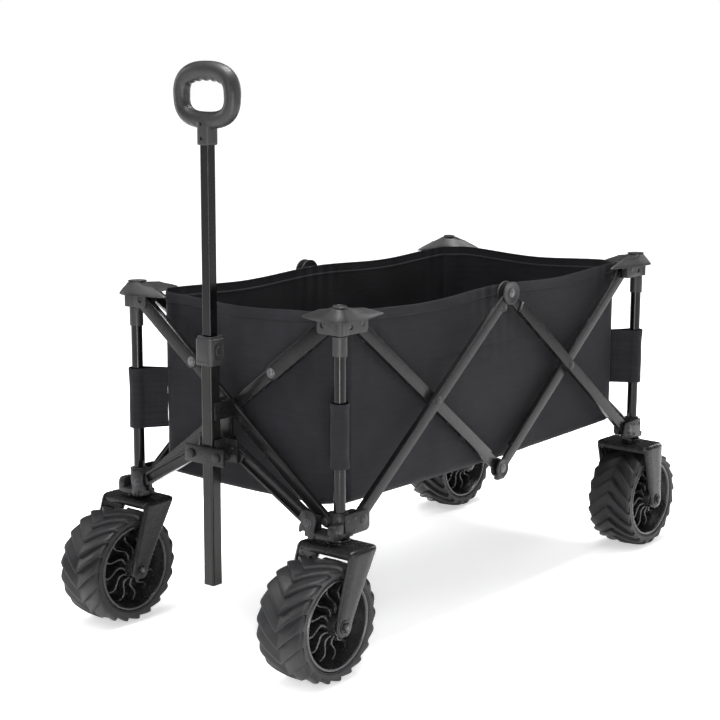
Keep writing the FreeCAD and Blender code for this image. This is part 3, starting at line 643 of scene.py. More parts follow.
def elbow(start, end, number, out, sign, y, which):
    """The upper length of an end bar: a wider channel with a round end and a bolt."""
    made = sizes()
    top, low = (start, end) if number == "1" else (end, start)
    run = (low - top).normalized()
    reach = (low - top).length * 0.295
    half = made.bar_width / 2 + 0.0028
    channel = block((0.012, -0.0046, -half), (reach + half * 0.9, 0.0068, half), "channel")
    round_edges(channel, 1, half * 0.96, 7, lambda edge: edge.verts[0].co.x > 0.02)
    soften(channel, 0.0015, 3, 50)
    paint(channel, "frame_paint")
    made_channel = twin(channel, along(top, low, out), "channel")
    drop(channel)
    spot = top + run * (reach + 0.001)
    bolt_place = spot.copy()
    bolt_place.y = y + sign * (which * (made.layer_gap + made.bar_thick) / 2 + 0.0068)
    bolt = rivet("y", bolt_place, sign, 0.0058, 0.003, "screw", 0.0082)
    return join("channel", made_channel, bolt)


def make_hinges(x_out, far, halfway):
    """Plastic discs over the top middle hinges and blocks round the bottom ones."""
    for side, sign in SIDES.items():
        for body in ("top", "low"):
            z = TOP if body == "top" else LOW
            rider = f"side_bar_1_{side}" if body == "top" else f"side_bar_2_{side}"
            radius = 0.0195 if body == "top" else 0.0165
            parts = []
            layer_out = far if body == "top" else -0.0005
            layer_in = 0.0005 if body == "top" else -far
            for face_at, out in ((layer_out, 1), (layer_in, -1)):
                face = Vector((sign * (x_out + face_at + out * 0.0016), halfway, z))
                disc = drum("x", face, radius, 0.0032, 48, "disc")
                inset_faces(disc, lambda item: item.normal.x * sign * out > 0.9,
                            (0.0022, 0.0), (0.0010, -0.0007))
                soften(disc, 0.0007, 2, 40)
                for vert in disc.data.vertices:
                    vert.co.y = halfway + (vert.co.y - halfway) * (1.16 if body == "top" else 1.0)
                parts.append(paint(disc, "cap_plastic"))
                spot = Vector((sign * (x_out + face_at + out * 0.0026), halfway, z))
                parts.append(rivet("x", spot, sign * out, 0.0050, 0.0020, "screw", 0.0078))
            if body == "top":
                hook = block((sign * (x_out + 0.0035), halfway - 0.020, z - 0.030),
                             (sign * (x_out + far + 0.0008), halfway - 0.010, z - 0.014), "hook")
                lip = block((sign * (x_out + 0.0035), halfway - 0.026, z - 0.030),
                            (sign * (x_out + far + 0.0008), halfway - 0.010, z - 0.0255), "hook")
                for item in (hook, lip):
                    parts.append(paint(soften(item, 0.0014, 2), "cap_plastic"))
            else:
                heel = block((sign * (x_out - far - 0.0002), halfway - 0.011, z - 0.0205),
                             (sign * (x_out - 0.0004), halfway + 0.011, z - 0.009), "heel")
                parts.append(paint(soften(heel, 0.0025, 3), "cap_plastic"))
            disc = join(f"hinge_{body}_{side}", *parts)
            piece(disc, rider, "cap_plastic")


# ---------------------------------------------------------------- posts

def make_posts():
    """The CAD tubes, rods and bushes keep their shape and take their finish."""
    for corner in CORNERS:
        for stem, material in (("post", "rod_steel"), ("bush", "cap_plastic"), ("rod", "rod_steel")):
            paint(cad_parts[f"{stem}_{corner}"], material)


# ---------------------------------------------------------------- corner caps

def cap_roof():
    """A leaf with two pointed wings that slopes from a small crown to flat eaves. Wings run to -X and -Y."""
    edge = ((24, 2), (24, 11), (20, 19), (12, 24), (0, 26), (-16, 25), (-36, 19.5), (-56, 12), (-73, 3),
            (-56, -9), (-38, -16), (-26, -25), (-17, -42), (-10, -68), (3, -101), (12, -74),
            (18, -50), (22, -26))
    count = 126
    rim = spline([(x / 1000, y / 1000, 0) for x, y in edge], count)
    # share of the way out and height: the crown, the slope, the lip and the underside
    rings = [(0.10, CROWN_Z), (0.22, 0.5706), (0.34, 0.5700), (0.46, 0.5686), (0.56, 0.5658), (0.62, 0.5636),
             (0.68, 0.5618), (0.76, 0.5594), (0.85, 0.5566), (0.93, 0.5538), (0.975, 0.5519), (1.0, 0.5503),
             (0.995, 0.5490), (0.965, 0.5487), (0.94, 0.5502), (0.82, 0.5535), (0.45, 0.5560), (0.10, 0.5560)]

    def place_at(column, row):
        share, height = rings[row]
        edge_at = rim[column % count]
        reach = edge_at.length
        wing = ease(reach, 0.030, 0.075)
        # the crown stays round and small while the wings run out from it
        if 3 < row < 15:
            spot = edge_at * share
        else:
            spot = edge_at * share * (1 - wing * 0.45)
        height -= 0.0022 * wing * math.sin(math.pi * min(1.0, share)) * (1 if row < 11 else 0)
        return Vector((spot.x, spot.y, height))

    roof = sheet_of("roof", count + 1, len(rings), place_at)
    edit(roof, "EDGE", lambda item: item.is_boundary)
    bpy.ops.mesh.edge_face_add()
    done(roof)
    outwards(roof)
    return paint(roof, "cap_plastic")


def cap_badge():
    """A blank oval dish in a raised ring on the crown."""
    clear()
    bpy.ops.mesh.primitive_torus_add(major_segments=56, minor_segments=12, major_radius=0.0100,
                                     minor_radius=0.0011)
    ring = settle("badge")
    for vert in ring.data.vertices:
        vert.co.x *= 1.45
        vert.co.z += CROWN_Z
    dish = drum("z", (0, 0, 0.5705), 0.0096, 0.0008, 56, "dish")
    for vert in dish.data.vertices:
        vert.co.x *= 1.45
    rib = drum("z", (0, 0, 0.5709), 0.0048, 0.0008, 40, "rib")
    for vert in rib.data.vertices:
        vert.co.x *= 1.9
    soften(rib, 0.0003, 1)
    badge = join("badge", ring, dish, rib)
    badge.data.transform(Matrix.Translation((-0.002, -0.002, 0)) @ Matrix.Rotation(math.radians(45), 4, "Z"))
    return paint(badge, "cap_plastic")


def cap_block(end_outer):
    """The block over the post and the plates that hide the bars' ends. Out is +X, away is +Y."""
    out = sizes().cover_out
    end_out = out + 0.0022 if end_outer else out
    low, roof = CAP_LOW, CAP_EAVES
    free = 0.0106
    parts = []
    core = block((-0.0078, -0.0078, low - 0.0003), (out + 0.0003, end_out + 0.0003, roof), "core")
    parts.append(core)
    # on the ends a plate runs along X, on the sides along Y
    end_low = 0.0110 if end_outer else 0.0003
    parts.append(block((-0.036, end_low, low), (0.0, end_out, roof), "end_plate"))
    parts.append(block((0.0003, -0.054, low), (out, 0.0, roof), "side_plate"))
    if end_outer:
        parts.append(block((-0.031, -free, low + 0.003), (-0.0080, -0.0004, roof), "end_ear"))
    else:
        parts.append(block((-0.033, -0.0300, low + 0.003), (-0.0080, -free, roof), "rear"))
    parts.append(block((-0.0200, -0.030, low + 0.006), (-0.0108, -0.009, roof), "side_rear"))
    for part in parts[1:3]:
        along_x = part.name.startswith("end")
        round_edges(part, 1 if along_x else 0, 0.005, 4,
                    lambda edge: edge.verts[0].co.z < low + 0.001
                    and (edge.verts[0].co.x < -0.03 if along_x else edge.verts[0].co.y < -0.05))
    for part in parts:
        soften(part, 0.0010, 3)
        paint(part, "cap_plastic")
    screws = [sunk_screw(parts[1], "y", (-0.024, end_out, 0.5420), 1, 0.0050, 0.0030),
              sunk_screw(parts[2], "x", (out, -0.040, 0.5420), 1, 0.0050, 0.0030),
              sunk_screw(parts[2], "x", (out, -0.0130, 0.5395), 1, 0.0042, 0.0030, "screw")]
    spout = drum("z", (out - 0.0035, end_out - 0.0035, (low + roof) / 2), 0.0058, roof - low, 32, "spout")
    parts.append(paint(soften(spout, 0.0009, 2), "cap_plastic"))
    return parts + screws


def make_caps():
    roof, badge = cap_roof(), cap_badge()
    for corner, (out, _) in CORNERS.items():
        end_outer = out < 0
        body = join("cap", twin(roof, Matrix(), "roof"), twin(badge, Matrix(), "badge"),
                    *cap_block(end_outer))
        cap = set_down(body, corner, f"cap_{corner}_moulding")
        piece(cap, f"cap_{corner}", "cap_plastic", (f"cap_{corner}",), 34)
    drop(roof, badge)


# ---------------------------------------------------------------- brackets

def make_brackets():
    for corner, (out, away) in CORNERS.items():
        low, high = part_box(f"bracket_{corner}")
        low_z, top_z = low.z, high.z
        end_outer = out > 0
        wrap = drum("z", (0, 0, (low_z + top_z) / 2), 0.0150, top_z - low_z, 48, "wrap")
        collar = drum("z", (0, 0, top_z + 0.0012), 0.0132, 0.0030, 48, "collar")
        parts = [soften(wrap, 0.0020, 3, 50), soften(collar, 0.0008, 2, 50)]
        base = block((-0.017, -0.017, low_z), (0.017, 0.017, low_z + 0.009), "base")
        parts.append(soften(round_edges(base, 2, 0.007, 4), 0.0012, 2))
        # plates outside and inside the side bar's foot
        side_plate = block((0.0136, -0.053, low_z + 0.002), (PLATE_X, 0.006, top_z + 0.001), "plate")
        round_edges(side_plate, 0, 0.009, 5, lambda edge: edge.verts[0].co.y < -0.05)
        parts.append(side_plate)
        parts.append(block((0.004, -0.010, low_z + 0.002), (0.0150, 0.006, top_z - 0.002), "neck"))
        ear = block((-0.0105, -0.049, low_z + 0.008), (-0.0004, -0.010, top_z - 0.002), "ear")
        round_edges(ear, 0, 0.009, 5, lambda edge: edge.verts[0].co.y < -0.04)
        parts.append(ear)
        # the end bar's foot has a plate in the layer that it leaves free
        free_low, free_high = (-0.0105, -0.0004) if end_outer else (0.0004, 0.0150)
        end_ear = block((-0.031, free_low, low_z + 0.006), (-0.006, free_high, top_z - 0.001), "end_ear")
        round_edges(end_ear, 1, 0.009, 5, lambda edge: edge.verts[0].co.x < -0.03)
        parts.append(end_ear)
        for part in parts[3:]:
            soften(part, 0.0010, 2)
        if away < 0:
            shelf = block((-0.043, 0.004, low_z), (0.012, 0.0360, low_z + 0.0085), "shelf")
            round_edges(shelf, 2, 0.005, 3)
            lug = block((-0.043, 0.0145, low_z), (-0.023, 0.0192, low_z + 0.031), "lug")
            cheek = block((0.004, 0.010, low_z), (0.0165, 0.034, low_z + 0.024), "cheek")
            round_edges(cheek, 0, 0.008, 3,
                        lambda edge: edge.verts[0].co.z > low_z + 0.02 and edge.verts[0].co.y > 0.02)
            for part in (shelf, lug, cheek):
                parts.append(soften(part, 0.0010, 2))
        for part in parts:
            paint(part, "bracket_plastic")
        parts.append(rivet("x", (PLATE_X, -0.038, LOW), 1, 0.0062, 0.0024, "dark_screw", 0.0085))
        for y, z in ((-0.016, top_z - 0.007), (-0.016, low_z + 0.009), (0.001, top_z - 0.009)):
            parts.append(rivet("x", (PLATE_X, y, z), 1, 0.0024, 0.0012, "dark_screw"))
        if away < 0:
            parts.append(rivet("x", (0.0165, 0.024, low_z + 0.013), 1, 0.0042, 0.002, "dark_screw", 0.006))
        body = join("bracket", *parts)
        bracket = set_down(body, corner, f"bracket_{corner}_moulding")
        piece(bracket, f"frame_{corner}", "bracket_plastic", (f"bracket_{corner}",), 45)


# ---------------------------------------------------------------- forks

def fork_shell(trail):
    """A pressed fork: one bent plate with its edges turned in. Trail is the axle's place along Y."""
    half, metal, bend = 0.056, 0.0036, 0.0066
    top, axle, tip = 0.206, AXLE_Z, 0.016
    mid = half - metal / 2
    crown = top - metal / 2
    heights = [axle - tip + 0.0006, axle - 0.0152, axle - 0.0135, axle - 0.010, axle - 0.005, axle,
               axle + 0.008, axle + 0.020, axle + 0.040, axle + 0.060, axle + 0.080, crown - bend - 0.006]
    path = [(mid, z, (1, 0)) for z in heights]
    for step in range(6):
        turn = math.radians(90 * step / 5)
        path.append((mid - bend + bend * math.cos(turn), crown - bend + bend * math.sin(turn),
                     (math.cos(turn), math.sin(turn))))
    for x in (0.036, 0.022, 0.008):
        path.append((x, crown, (0, 1)))
    path += [(-x, z, (-nx, nz)) for x, z, (nx, nz) in reversed(path)]
    columns = len(path)

    def place_at(column, row):
        x, z, (nx, nz) = path[column]
        share = (z - axle) / (crown - axle) if z > axle else 0.0
        front = trail - tip + (-0.035 - trail + tip) * share
        back = trail + tip + (0.026 - trail - tip) * share
        if z < axle:
            half_width = math.sqrt(max(tip ** 2 - (axle - z) ** 2, 1e-8))
            front, back = trail - half_width, trail + half_width
        turned = ease(z, axle - 0.006, axle + 0.03)
        on_bridge = abs(x) < mid - bend + 0.001
        lip_front = (0.0115 if on_bridge else 0.0050) * turned
        lip_back = (0.0085 if on_bridge else 0.0050) * turned
        radius = 0.0042 * max(turned, 0.05)
        across = (
            (front, max(lip_front, radius * 1.02)), (front, radius), (front + radius * 0.29, radius * 0.29),
            (front + radius, 0.0), (front + (back - front) * 0.33, 0.0), (front + (back - front) * 0.67, 0.0),
            (back - radius, 0.0), (back - radius * 0.29, radius * 0.29), (back, radius),
            (back, max(lip_back, radius * 1.02)),
        )
        y, depth = across[row]
        return Vector((x - nx * depth, y, z - nz * depth))

    shell = sheet_of("fork", columns, 10, place_at)
    legs = 0.053
    face_out(shell, lambda face: math.copysign(face.normal.x, face.normal.x * face.center.x)
             if abs(face.center.x) > legs else 0.0)
    modify(shell, "SOLIDIFY", thickness=metal, offset=0.0)
    soften(shell, 0.0007, 2, 60)
    return paint(shell, "fork_paint")


def make_forks():
    for corner in CORNERS:
        node = f"fork_{corner}"
        post = POSTS[corner]
        trail = middle_of(f"tyre_{corner}").y - post.y
        parts = [fork_shell(trail)]
        washer = drum("z", (0, 0, 0.2090), 0.0165, 0.0052, 48, "washer")
        stem = drum("z", (0, 0, 0.2210), 0.0070, 0.0300, 32, "stem")
        seat = drum("z", (0, 0, 0.2065), 0.0215, 0.0020, 48, "seat")
        for part in (washer, stem, seat):
            parts.append(paint(soften(part, 0.0008, 2), "fork_paint"))
        axle = drum("x", (0, trail, AXLE_Z), 0.0058, 0.108, 32, "axle")
        parts.append(paint(axle, "screw"))
        for out in (1, -1):
            boss = drum("x", (out * 0.0566, trail, AXLE_Z), 0.0108, 0.0022, 40, "boss")
            inset_faces(boss, lambda face: face.normal.x * out > 0.9, (0.0026, 0.0), (0.0008, -0.0014))
            parts.append(paint(soften(boss, 0.0004, 2), "fork_paint"))
            bolt = drum("x", (out * 0.0585, trail, AXLE_Z), 0.0062, 0.0062, 6, "bolt")
            parts.append(paint(soften(bolt, 0.0007, 2), "dark_screw"))
            parts.append(rivet("x", (out * 0.0612, trail, AXLE_Z), out, 0.0028, 0.0010, "screw"))
        body = join(node + "_press", *parts)
        body.data.transform(Matrix.Translation((post.x, post.y, 0)))
        rider = f"caster_{corner}" if "front" in corner else f"frame_{corner}"
        piece(body, rider, "fork_paint", (node,), 40)


# ---------------------------------------------------------------- wheels

def tyre_mould(point_up):
    """A round-shouldered tyre with chevron lugs, centred on the origin with its axle along X."""
    made = sizes()
    count, depth = made.lug_count, made.lug_depth
    pitch = 2 * math.pi / count
    # place across the tyre, radius and how much of the lug's depth shows there
    half = [(0.0385, 0.0722, 0), (0.0418, 0.0726, 0), (0.0434, 0.0736, 0), (0.0437, 0.0748, 0),
            (0.0430, 0.0754, 0), (0.0441, 0.0762, 0), (0.0445, 0.0800, 0),
            (0.0448, 0.0826, 0.1), (0.0450, 0.0838, 0.75),
            (0.0450, 0.0862, 1), (0.0443, 0.0884, 1), (0.0424, 0.0902, 1), (0.0390, 0.0916, 1),
            (0.0335, 0.0929, 1),
            (0.0270, 0.0938, 1), (0.0205, 0.0944, 1), (0.0140, 0.0948, 1),
            (0.0080, 0.0950, 1), (0.0030, 0.0950, 1),
            (0.0, 0.0950, 1)]
    profile = half + [(-x, radius, weight) for x, radius, weight in reversed(half[:-1])]
    # height of the lug along the pitch: a groove, a steep face and a long slope down
    steps = [(0.0, 0.0), (0.05, 0.0), (0.08, 0.82), (0.105, 0.97), (0.15, 1.0), (0.26, 0.97), (0.38, 0.80),
             (0.54, 0.57), (0.72, 0.34), (0.88, 0.14), (0.95, 0.05), (1.0, 0.0)]

    def place_at(column, row):
        x, radius, weight = profile[column]
        share, height = steps[row]
        sweep = math.radians(25) * min(1.0, math.hypot(x, 0.0012) / 0.045) ** 0.92
        turn = (pitch * share + sweep) * point_up
        sunk = depth * (1 - height) * weight
        shoulder = (abs(x) / 0.045) ** 8
        inward = sunk * 0.50 * shoulder
        reach = radius - sunk * (1 - 0.30 * shoulder)
        side = x - math.copysign(inward, x)
        return Vector((side, -reach * math.cos(turn), reach * math.sin(turn)))

    tyre = sheet_of("tyre", len(profile), len(steps), place_at)
    edit(tyre, "FACE", lambda face: True)
    bpy.ops.mesh.spin(steps=count - 1, dupli=True, angle=2 * math.pi * (count - 1) / count, center=(0, 0, 0),
                      axis=(1, 0, 0))
    done(tyre)
    outwards(tyre)
    return paint(tyre, "tyre_rubber")


def spun(name, profile, steps=72):
    """A profile of places along X and radii, spun about X into a closed ring."""
    clear()
    bpy.ops.mesh.primitive_circle_add(vertices=len(profile), radius=1.0)
    ring = settle(name)
    for vert, (x, radius) in zip(ring.data.vertices, profile):
        vert.co = (x, -radius, 0)
    edit(ring, "VERT", lambda vert: True)
    bpy.ops.mesh.spin(steps=steps, angle=2 * math.pi, center=(0, 0, 0), axis=(1, 0, 0))
    done(ring)
    return outwards(ring)


def rim_mould():
    """A deep dish with a lip, a hub and curved vanes on both sides."""
    made = sizes()
    lip = [(0.0380, 0.0721), (0.0422, 0.0721), (0.0432, 0.0712), (0.0434, 0.0700), (0.0430, 0.0682),
           (0.0418, 0.0672), (0.0396, 0.0668), (0.0300, 0.0640), (0.0180, 0.0590),
           (0.0105, 0.0560), (0.0070, 0.0545)]
    hub = [(0.0060, 0.0300), (0.0070, 0.0215), (0.0110, 0.0196), (0.0300, 0.0180), (0.0440, 0.0168),
           (0.0482, 0.0160), (0.0490, 0.0145), (0.0488, 0.0100), (0.0470, 0.0092), (0.0470, 0.0063)]
    half = lip + hub
    rim = spun("rim", half + [(-x, radius) for x, radius in reversed(half)])
    rim = soften(rim, 0.0002, 1, 60)
    vane = block((0.0, 0.0, -0.0019), (0.028, 0.046, 0.0019), "vane")
    edit(vane, "FACE", lambda face: True)
    for cut_at in (0.006, 0.012, 0.018, 0.024, 0.030, 0.036, 0.042):
        bpy.ops.mesh.select_all(action="SELECT")
        bpy.ops.mesh.bisect(plane_co=(0, cut_at, 0), plane_no=(0, 1, 0))
    done(vane)
    soften(vane, 0.0015, 3, 60)
    for vert in vane.data.vertices:
        share = vert.co.y / 0.046
        vert.co.z = vert.co.z * (1.25 - 0.45 * share) + 0.0062 * math.sin(2 * math.pi * share) - 0.005 * share
        vert.co.x = 0.005 + vert.co.x * (1.12 - 0.32 * share)
        vert.co.y = -(0.0172 + share * 0.0430)
    paint(vane, "rim_plastic")
    vanes = [vane]
    for index in range(1, made.vane_count):
        vanes.append(twin(vane, Matrix.Rotation(2 * math.pi * index / made.vane_count, 4, "X"), "vane"))
    near = join("vanes", *vanes)
    far = twin(near, Matrix.Rotation(math.pi, 4, "Z") @ Matrix.Rotation(math.radians(15), 4, "X"), "vanes")
    return join("rim", paint(rim, "rim_plastic"), near, far)


def make_wheels():
    tyres = {"front": tyre_mould(1), "rear": tyre_mould(-1)}
    rim = rim_mould()
    for corner in CORNERS:
        place = Matrix.Translation(middle_of(f"tyre_{corner}"))
        end = corner.split("_")[0]
        for stem, mould, slot in (("tyre", tyres[end], "tyre_rubber"), ("rim", rim, "rim_plastic")):
            made = twin(mould, place, f"{stem}_{corner}_tread" if stem == "tyre" else f"{stem}_{corner}_dish")
            piece(made, f"wheel_{corner}", slot, (f"{stem}_{corner}",), 30)
    drop(rim, *tyres.values())


# ---------------------------------------------------------------- drawbar and handle

def make_drawbar():
    for side, sign in SIDES.items():
        node = f"drawbar_arm_{side}"
        arm = softened(node, 0.0019, "frame_paint", 3)
        low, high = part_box(node)
        pin_x = sign * (HALF_X - 0.033)
        face = low.y - 0.0010
        # the lobed ear that hooks on the bracket's pin
        outline = ((13, 14), (15, 4), (14, -6), (17, -14), (13, -22), (4, -21), (0, -15), (-7, -14),
                   (-14, -19), (-16, -9), (-13, 2), (-16, 12), (-10, 19), (4, 20))
        rim = spline([(x / 1000, z / 1000, 0) for x, z in outline], 70)
        ear = drum("z", (0, 0, 0), 1.0, 0.0036, 70, "ear")
        for vert in ear.data.vertices:
            turn = math.atan2(vert.co.y, vert.co.x)
            spot = rim[round((turn / (2 * math.pi)) * 70) % 70]
            vert.co.x, vert.co.y = spot.x, spot.y
        soften(ear, 0.0008, 2, 50)
        lean = math.atan2(high.z - low.z - 0.020, abs(high.x - low.x) - 0.020) * 0.35
        turn = Matrix.Rotation(math.pi / 2, 4, "X")
        place = (Matrix.Translation((pin_x, face - 0.0018, LOW)) @ Matrix.Diagonal((sign, 1, 1, 1))
                 @ Matrix.Rotation(lean, 4, "Y") @ turn)
        plate = twin(paint(ear, "bracket_plastic"), place, "ear")
        drop(ear)
        bolt = rivet("y", (pin_x, face - 0.0036, LOW), -1, 0.0062, 0.0026, "dark_screw", 0.0084)
        spacer = paint(drum("y", (pin_x, face + 0.0005, LOW), 0.009, 0.0016, 32), "bracket_plastic")
        whole = join(node + "_tube", arm, plate, bolt, spacer)
        piece(whole, node, "frame_paint", (node,), 40)
    mount = softened("drawbar_mount", 0.0011, "frame_paint")
    piece(mount, "drawbar_mount", "frame_paint", ("drawbar_mount",), 40)
    mount.name = mount.data.name = "drawbar_mount_pressing"
    yoke = softened("handle_yoke", 0.0012, "frame_paint")
    low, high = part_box("handle_yoke")
    middle = (low.z + high.z) / 2
    heads = [rivet("y", (sign * 0.028, low.y + 0.0030, middle), -1, 0.0046, 0.0026, "screw", 0.0072)
             for sign in (-1, 1)]
    piece(join("handle_yoke_plate", yoke, *heads), "handle_yoke", "frame_paint", ("handle_yoke",), 40)


def make_handle():
    paint(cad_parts["handle_outer_tube"], "handle_paint")
    paint(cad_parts["handle_inner_tube"], "rod_steel")
    low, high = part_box("handle_collar")
    collar = block((low.x, low.y, low.z), (high.x, high.y, high.z - 0.005), "collar")
    round_edges(collar, 2, 0.0085, 6)
    edit(collar, "FACE", lambda face: face.normal.z > 0.9)
    bpy.ops.mesh.inset(thickness=0.0016, depth=0.0008)
    bpy.ops.mesh.inset(thickness=0.0010, depth=0.0)
    bpy.ops.mesh.extrude_region_move(TRANSFORM_OT_translate={"value": (0, 0, 0.0040)})
    bpy.ops.mesh.inset(thickness=0.0022, depth=0.0)
    bpy.ops.mesh.inset(thickness=0.0005, depth=-0.0020)
    done(collar)
    inset_faces(collar, lambda face: face.normal.z < -0.9, (0.0026, 0.0), (0.0004, -0.0020))
    soften(collar, 0.0007, 2, 40)
    middle = (low.z + high.z) / 2
    pad = block((high.x - 0.003, HANDLE_Y - 0.0115, middle - 0.0155),
                (high.x + 0.0012, HANDLE_Y + 0.0115, middle + 0.0150), "pad")
    round_edges(pad, 0, 0.0085, 5)
    inset_faces(pad, lambda face: face.normal.x > 0.9, (0.0018, 0.0), (0.0005, -0.0008))
    soften(pad, 0.0006, 2, 40)
    seam = block((low.x - 0.0003, HANDLE_Y - 0.0006, low.z + 0.004),
                 (low.x + 0.002, HANDLE_Y + 0.0006, high.z - 0.010), "seam")
    band = block((low.x + 0.004, low.y - 0.0004, low.z + 0.0052),
                 (high.x - 0.004, low.y + 0.002, low.z + 0.0064), "band")
    for part in (collar, pad, seam, band):
        paint(part, "collar_plastic")
    moulding = join("handle_collar_moulding", collar, pad, seam, band)
    piece(moulding, "handle_outer", "collar_plastic", ("handle_collar",), 40)
    button_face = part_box("release_button")[1].x
    button = drum("x", (button_face - 0.0028, HANDLE_Y, middle), 0.0074, 0.0054, 40, "button")
    inset_faces(button, lambda face: face.normal.x > 0.9, (0.0016, 0.0), (0.0022, -0.0006))
    paint(soften(button, 0.0009, 3, 40), "cap_plastic")
    button.name = button.data.name = "release_button_cap"
    piece(button, "release_button", "collar_plastic", ("release_button",), 40)


def make_grip():
    """A rounded ring with finger bumps under its top bar, on a squarish neck."""
    low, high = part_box("handle_grip")
    tube = 0.0133
    centre_z = high.z - 0.0515
    half_wide, half_tall = 0.067 - tube, 0.0515 - tube
    clear()
    bpy.ops.mesh.primitive_torus_add(major_segments=144, minor_segments=28, major_radius=1.0,
                                     minor_radius=0.25)
    ring = settle("grip")
    power = 2 / 2.65
    for vert in ring.data.vertices:
        turn = math.atan2(vert.co.y, vert.co.x)
        reach = math.hypot(vert.co.x, vert.co.y) - 1.0
        inside, deep = -reach / 0.25, vert.co.z / 0.25
        cosine, sine = math.cos(turn), math.sin(turn)
        path = Vector((math.copysign(abs(cosine) ** power, cosine) * half_wide, 0,
                       math.copysign(abs(sine) ** power, sine) * half_tall))
        path.x *= 1 - 0.05 * math.copysign(abs(sine) ** 2, sine)
        away = Vector((cosine / half_wide, 0, sine / half_tall)).normalized()
        fat = 1.0
        if inside > 0 and sine > 0.5:
            fingers = 0.5 + 0.5 * math.cos(path.x / 0.0195 * 2 * math.pi)
            fat += (0.17 * fingers + 0.16) * inside * ease(sine, 0.5, 0.9)
        depth = deep * tube * (1.0 if sine > 0 else 0.97)
        spot = path - away * inside * tube * fat
        vert.co = Vector((spot.x, HANDLE_Y + depth, centre_z + spot.z))
    neck = block((-0.013, HANDLE_Y - 0.013, low.z + 0.0004), (0.013, HANDLE_Y + 0.013, low.z + 0.036), "neck")
    round_edges(neck, 2, 0.0065, 5)
    shoulder = block((-0.023, HANDLE_Y - 0.0115, low.z + 0.0285),
                     (0.023, HANDLE_Y + 0.0115, low.z + 0.040), "shoulder")
    round_edges(shoulder, 1, 0.008, 4, lambda edge: edge.verts[0].co.z < low.z + 0.03)
    grip = join("grip", ring, neck, shoulder)
    modify(grip, "REMESH", mode="VOXEL", voxel_size=0.0011, adaptivity=0.0)
    modify(grip, "SMOOTH", factor=0.5, iterations=9)
    paint(grip, "grip_plastic")
    screws = [sunk_screw(grip, "y", (x, HANDLE_Y - 0.0130, z), -1, 0.0031, 0.0030)
              for z, x in ((low.z + 0.011, 0.0), (low.z + 0.0335, -0.001))]
    piece(join("handle_grip_moulding", grip, *screws), "handle_inner", "grip_plastic", ("handle_grip",), 60)


# ---------------------------------------------------------------- bag

BAG_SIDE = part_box("bag_side_right")[1].x
BAG_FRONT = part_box("bag_front")[0].y
BAG_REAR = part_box("bag_rear")[1].y
BAG_LOW, BAG_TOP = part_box("bag_front")[0].z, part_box("bag_front")[1].z
BAG_CUT = 0.032
SEAM_FRONT, SEAM_REAR = BAG_FRONT + BAG_CUT, BAG_REAR - BAG_CUT
HALFWAY = (SEAM_FRONT + SEAM_REAR) / 2


def wall_heights():
    """Rows of a wall from the tuck under the floor to the rim, closer together at the seams."""
    hem = BAG_TOP - sizes().hem
    rows = [BAG_LOW - 0.0030, BAG_LOW - 0.0020, BAG_LOW + 0.0015, BAG_LOW + 0.006]
    rows += [BAG_LOW + 0.012 + step * (0.2000 - 0.012) / 14 for step in range(14)]
    rows += [BAG_LOW + 0.2000, BAG_LOW + 0.2012, BAG_LOW + 0.2060]
    rows += [BAG_LOW + 0.2060 + step * (hem - 0.0035 - BAG_LOW - 0.2060) / 7 for step in range(1, 8)]
    rows += [hem - 0.0020, hem - 0.0008, hem, hem + 0.0012, hem + 0.006]
    rows += [BAG_TOP - 0.004, BAG_TOP - 0.0012, BAG_TOP]
    return rows


def ripple(run, height, seed):
    """Slow folds in hung cloth, a millimetre or so deep."""
    slow = math.sin(run * 23.0 + seed) * math.sin(height * 17.0 + seed * 1.7)
    slant = math.sin((run * 0.8 + height) * 41.0 + seed * 2.3) * math.sin(run * 9.0 + seed)
    return 0.0011 * slow + 0.0007 * slant


def wall_point(base, out, run, total, height, seed, supports, panel=None):
    """Move a point of a flat wall out, in and down, as cloth hung from its supports would lie."""
    made = sizes()
    hem = BAG_TOP - made.hem
    nearest = min(abs(run - support) for support in supports)
    reach = max(support - other for support, other in zip(supports[1:], supports[:-1])) / 2
    slack = ease(nearest, 0.0, reach)
    up = (height - BAG_LOW) / (BAG_TOP - BAG_LOW)
    z = height - made.rim_sag * slack * ease(up, 0.55, 1.0)
    z -= 0.0045 * math.sin(math.pi * min(1.0, max(0.0, run / total))) * (1 - ease(up, 0.0, 0.35))
    belly = 0.0050 * math.sin(math.pi * min(1.0, max(0.0, up))) * math.sin(math.pi * run / total)
    fade = ease(run, 0.0, 0.03) * ease(total - run, 0.0, 0.03)
    move = belly * fade + (ripple(run, height, seed) * fade * ease(up, 0.0, 0.1)
                           * (1 - 0.6 * ease(up, 0.85, 1.0)))
    # pulls from the supports down into the cloth
    for support in supports:
        fan = math.exp(-((run - support) / 0.060) ** 2) * math.exp(-((1 - up) / 0.30) ** 2)
        move -= 0.0010 * fan * math.cos((run - support) * 210.0) * fade
    if height > hem - 0.0001:
        move += 0.0011 * (1 if height < BAG_TOP - 0.003 else 0.55)
    elif height > hem - 0.0022:
        move -= 0.0006
    if panel:
        low_run, high_run = panel
        inside = ease(run, low_run - 0.03, low_run + 0.01) * (1 - ease(run, high_run - 0.01, high_run + 0.03))
        if height <= BAG_LOW + 0.2005:
            move += 0.0017 * inside
    if height < BAG_LOW + 0.004:
        move -= 0.0035 if height > BAG_LOW else (0.0080 if height > BAG_LOW - 0.0025 else 0.0150)
    return Vector((base.x + out.x * move, base.y + out.y * move, z))


def finish_wall(wall, name, outward_test):
    face_out(wall, outward_test)
    modify(wall, "SOLIDIFY", thickness=sizes().cloth, offset=-1.0, use_even_offset=False)
    modify(wall, "SUBSURF", levels=1, render_levels=1)
    wall.name = wall.data.name = name
    return paint(wall, "bag_fabric")


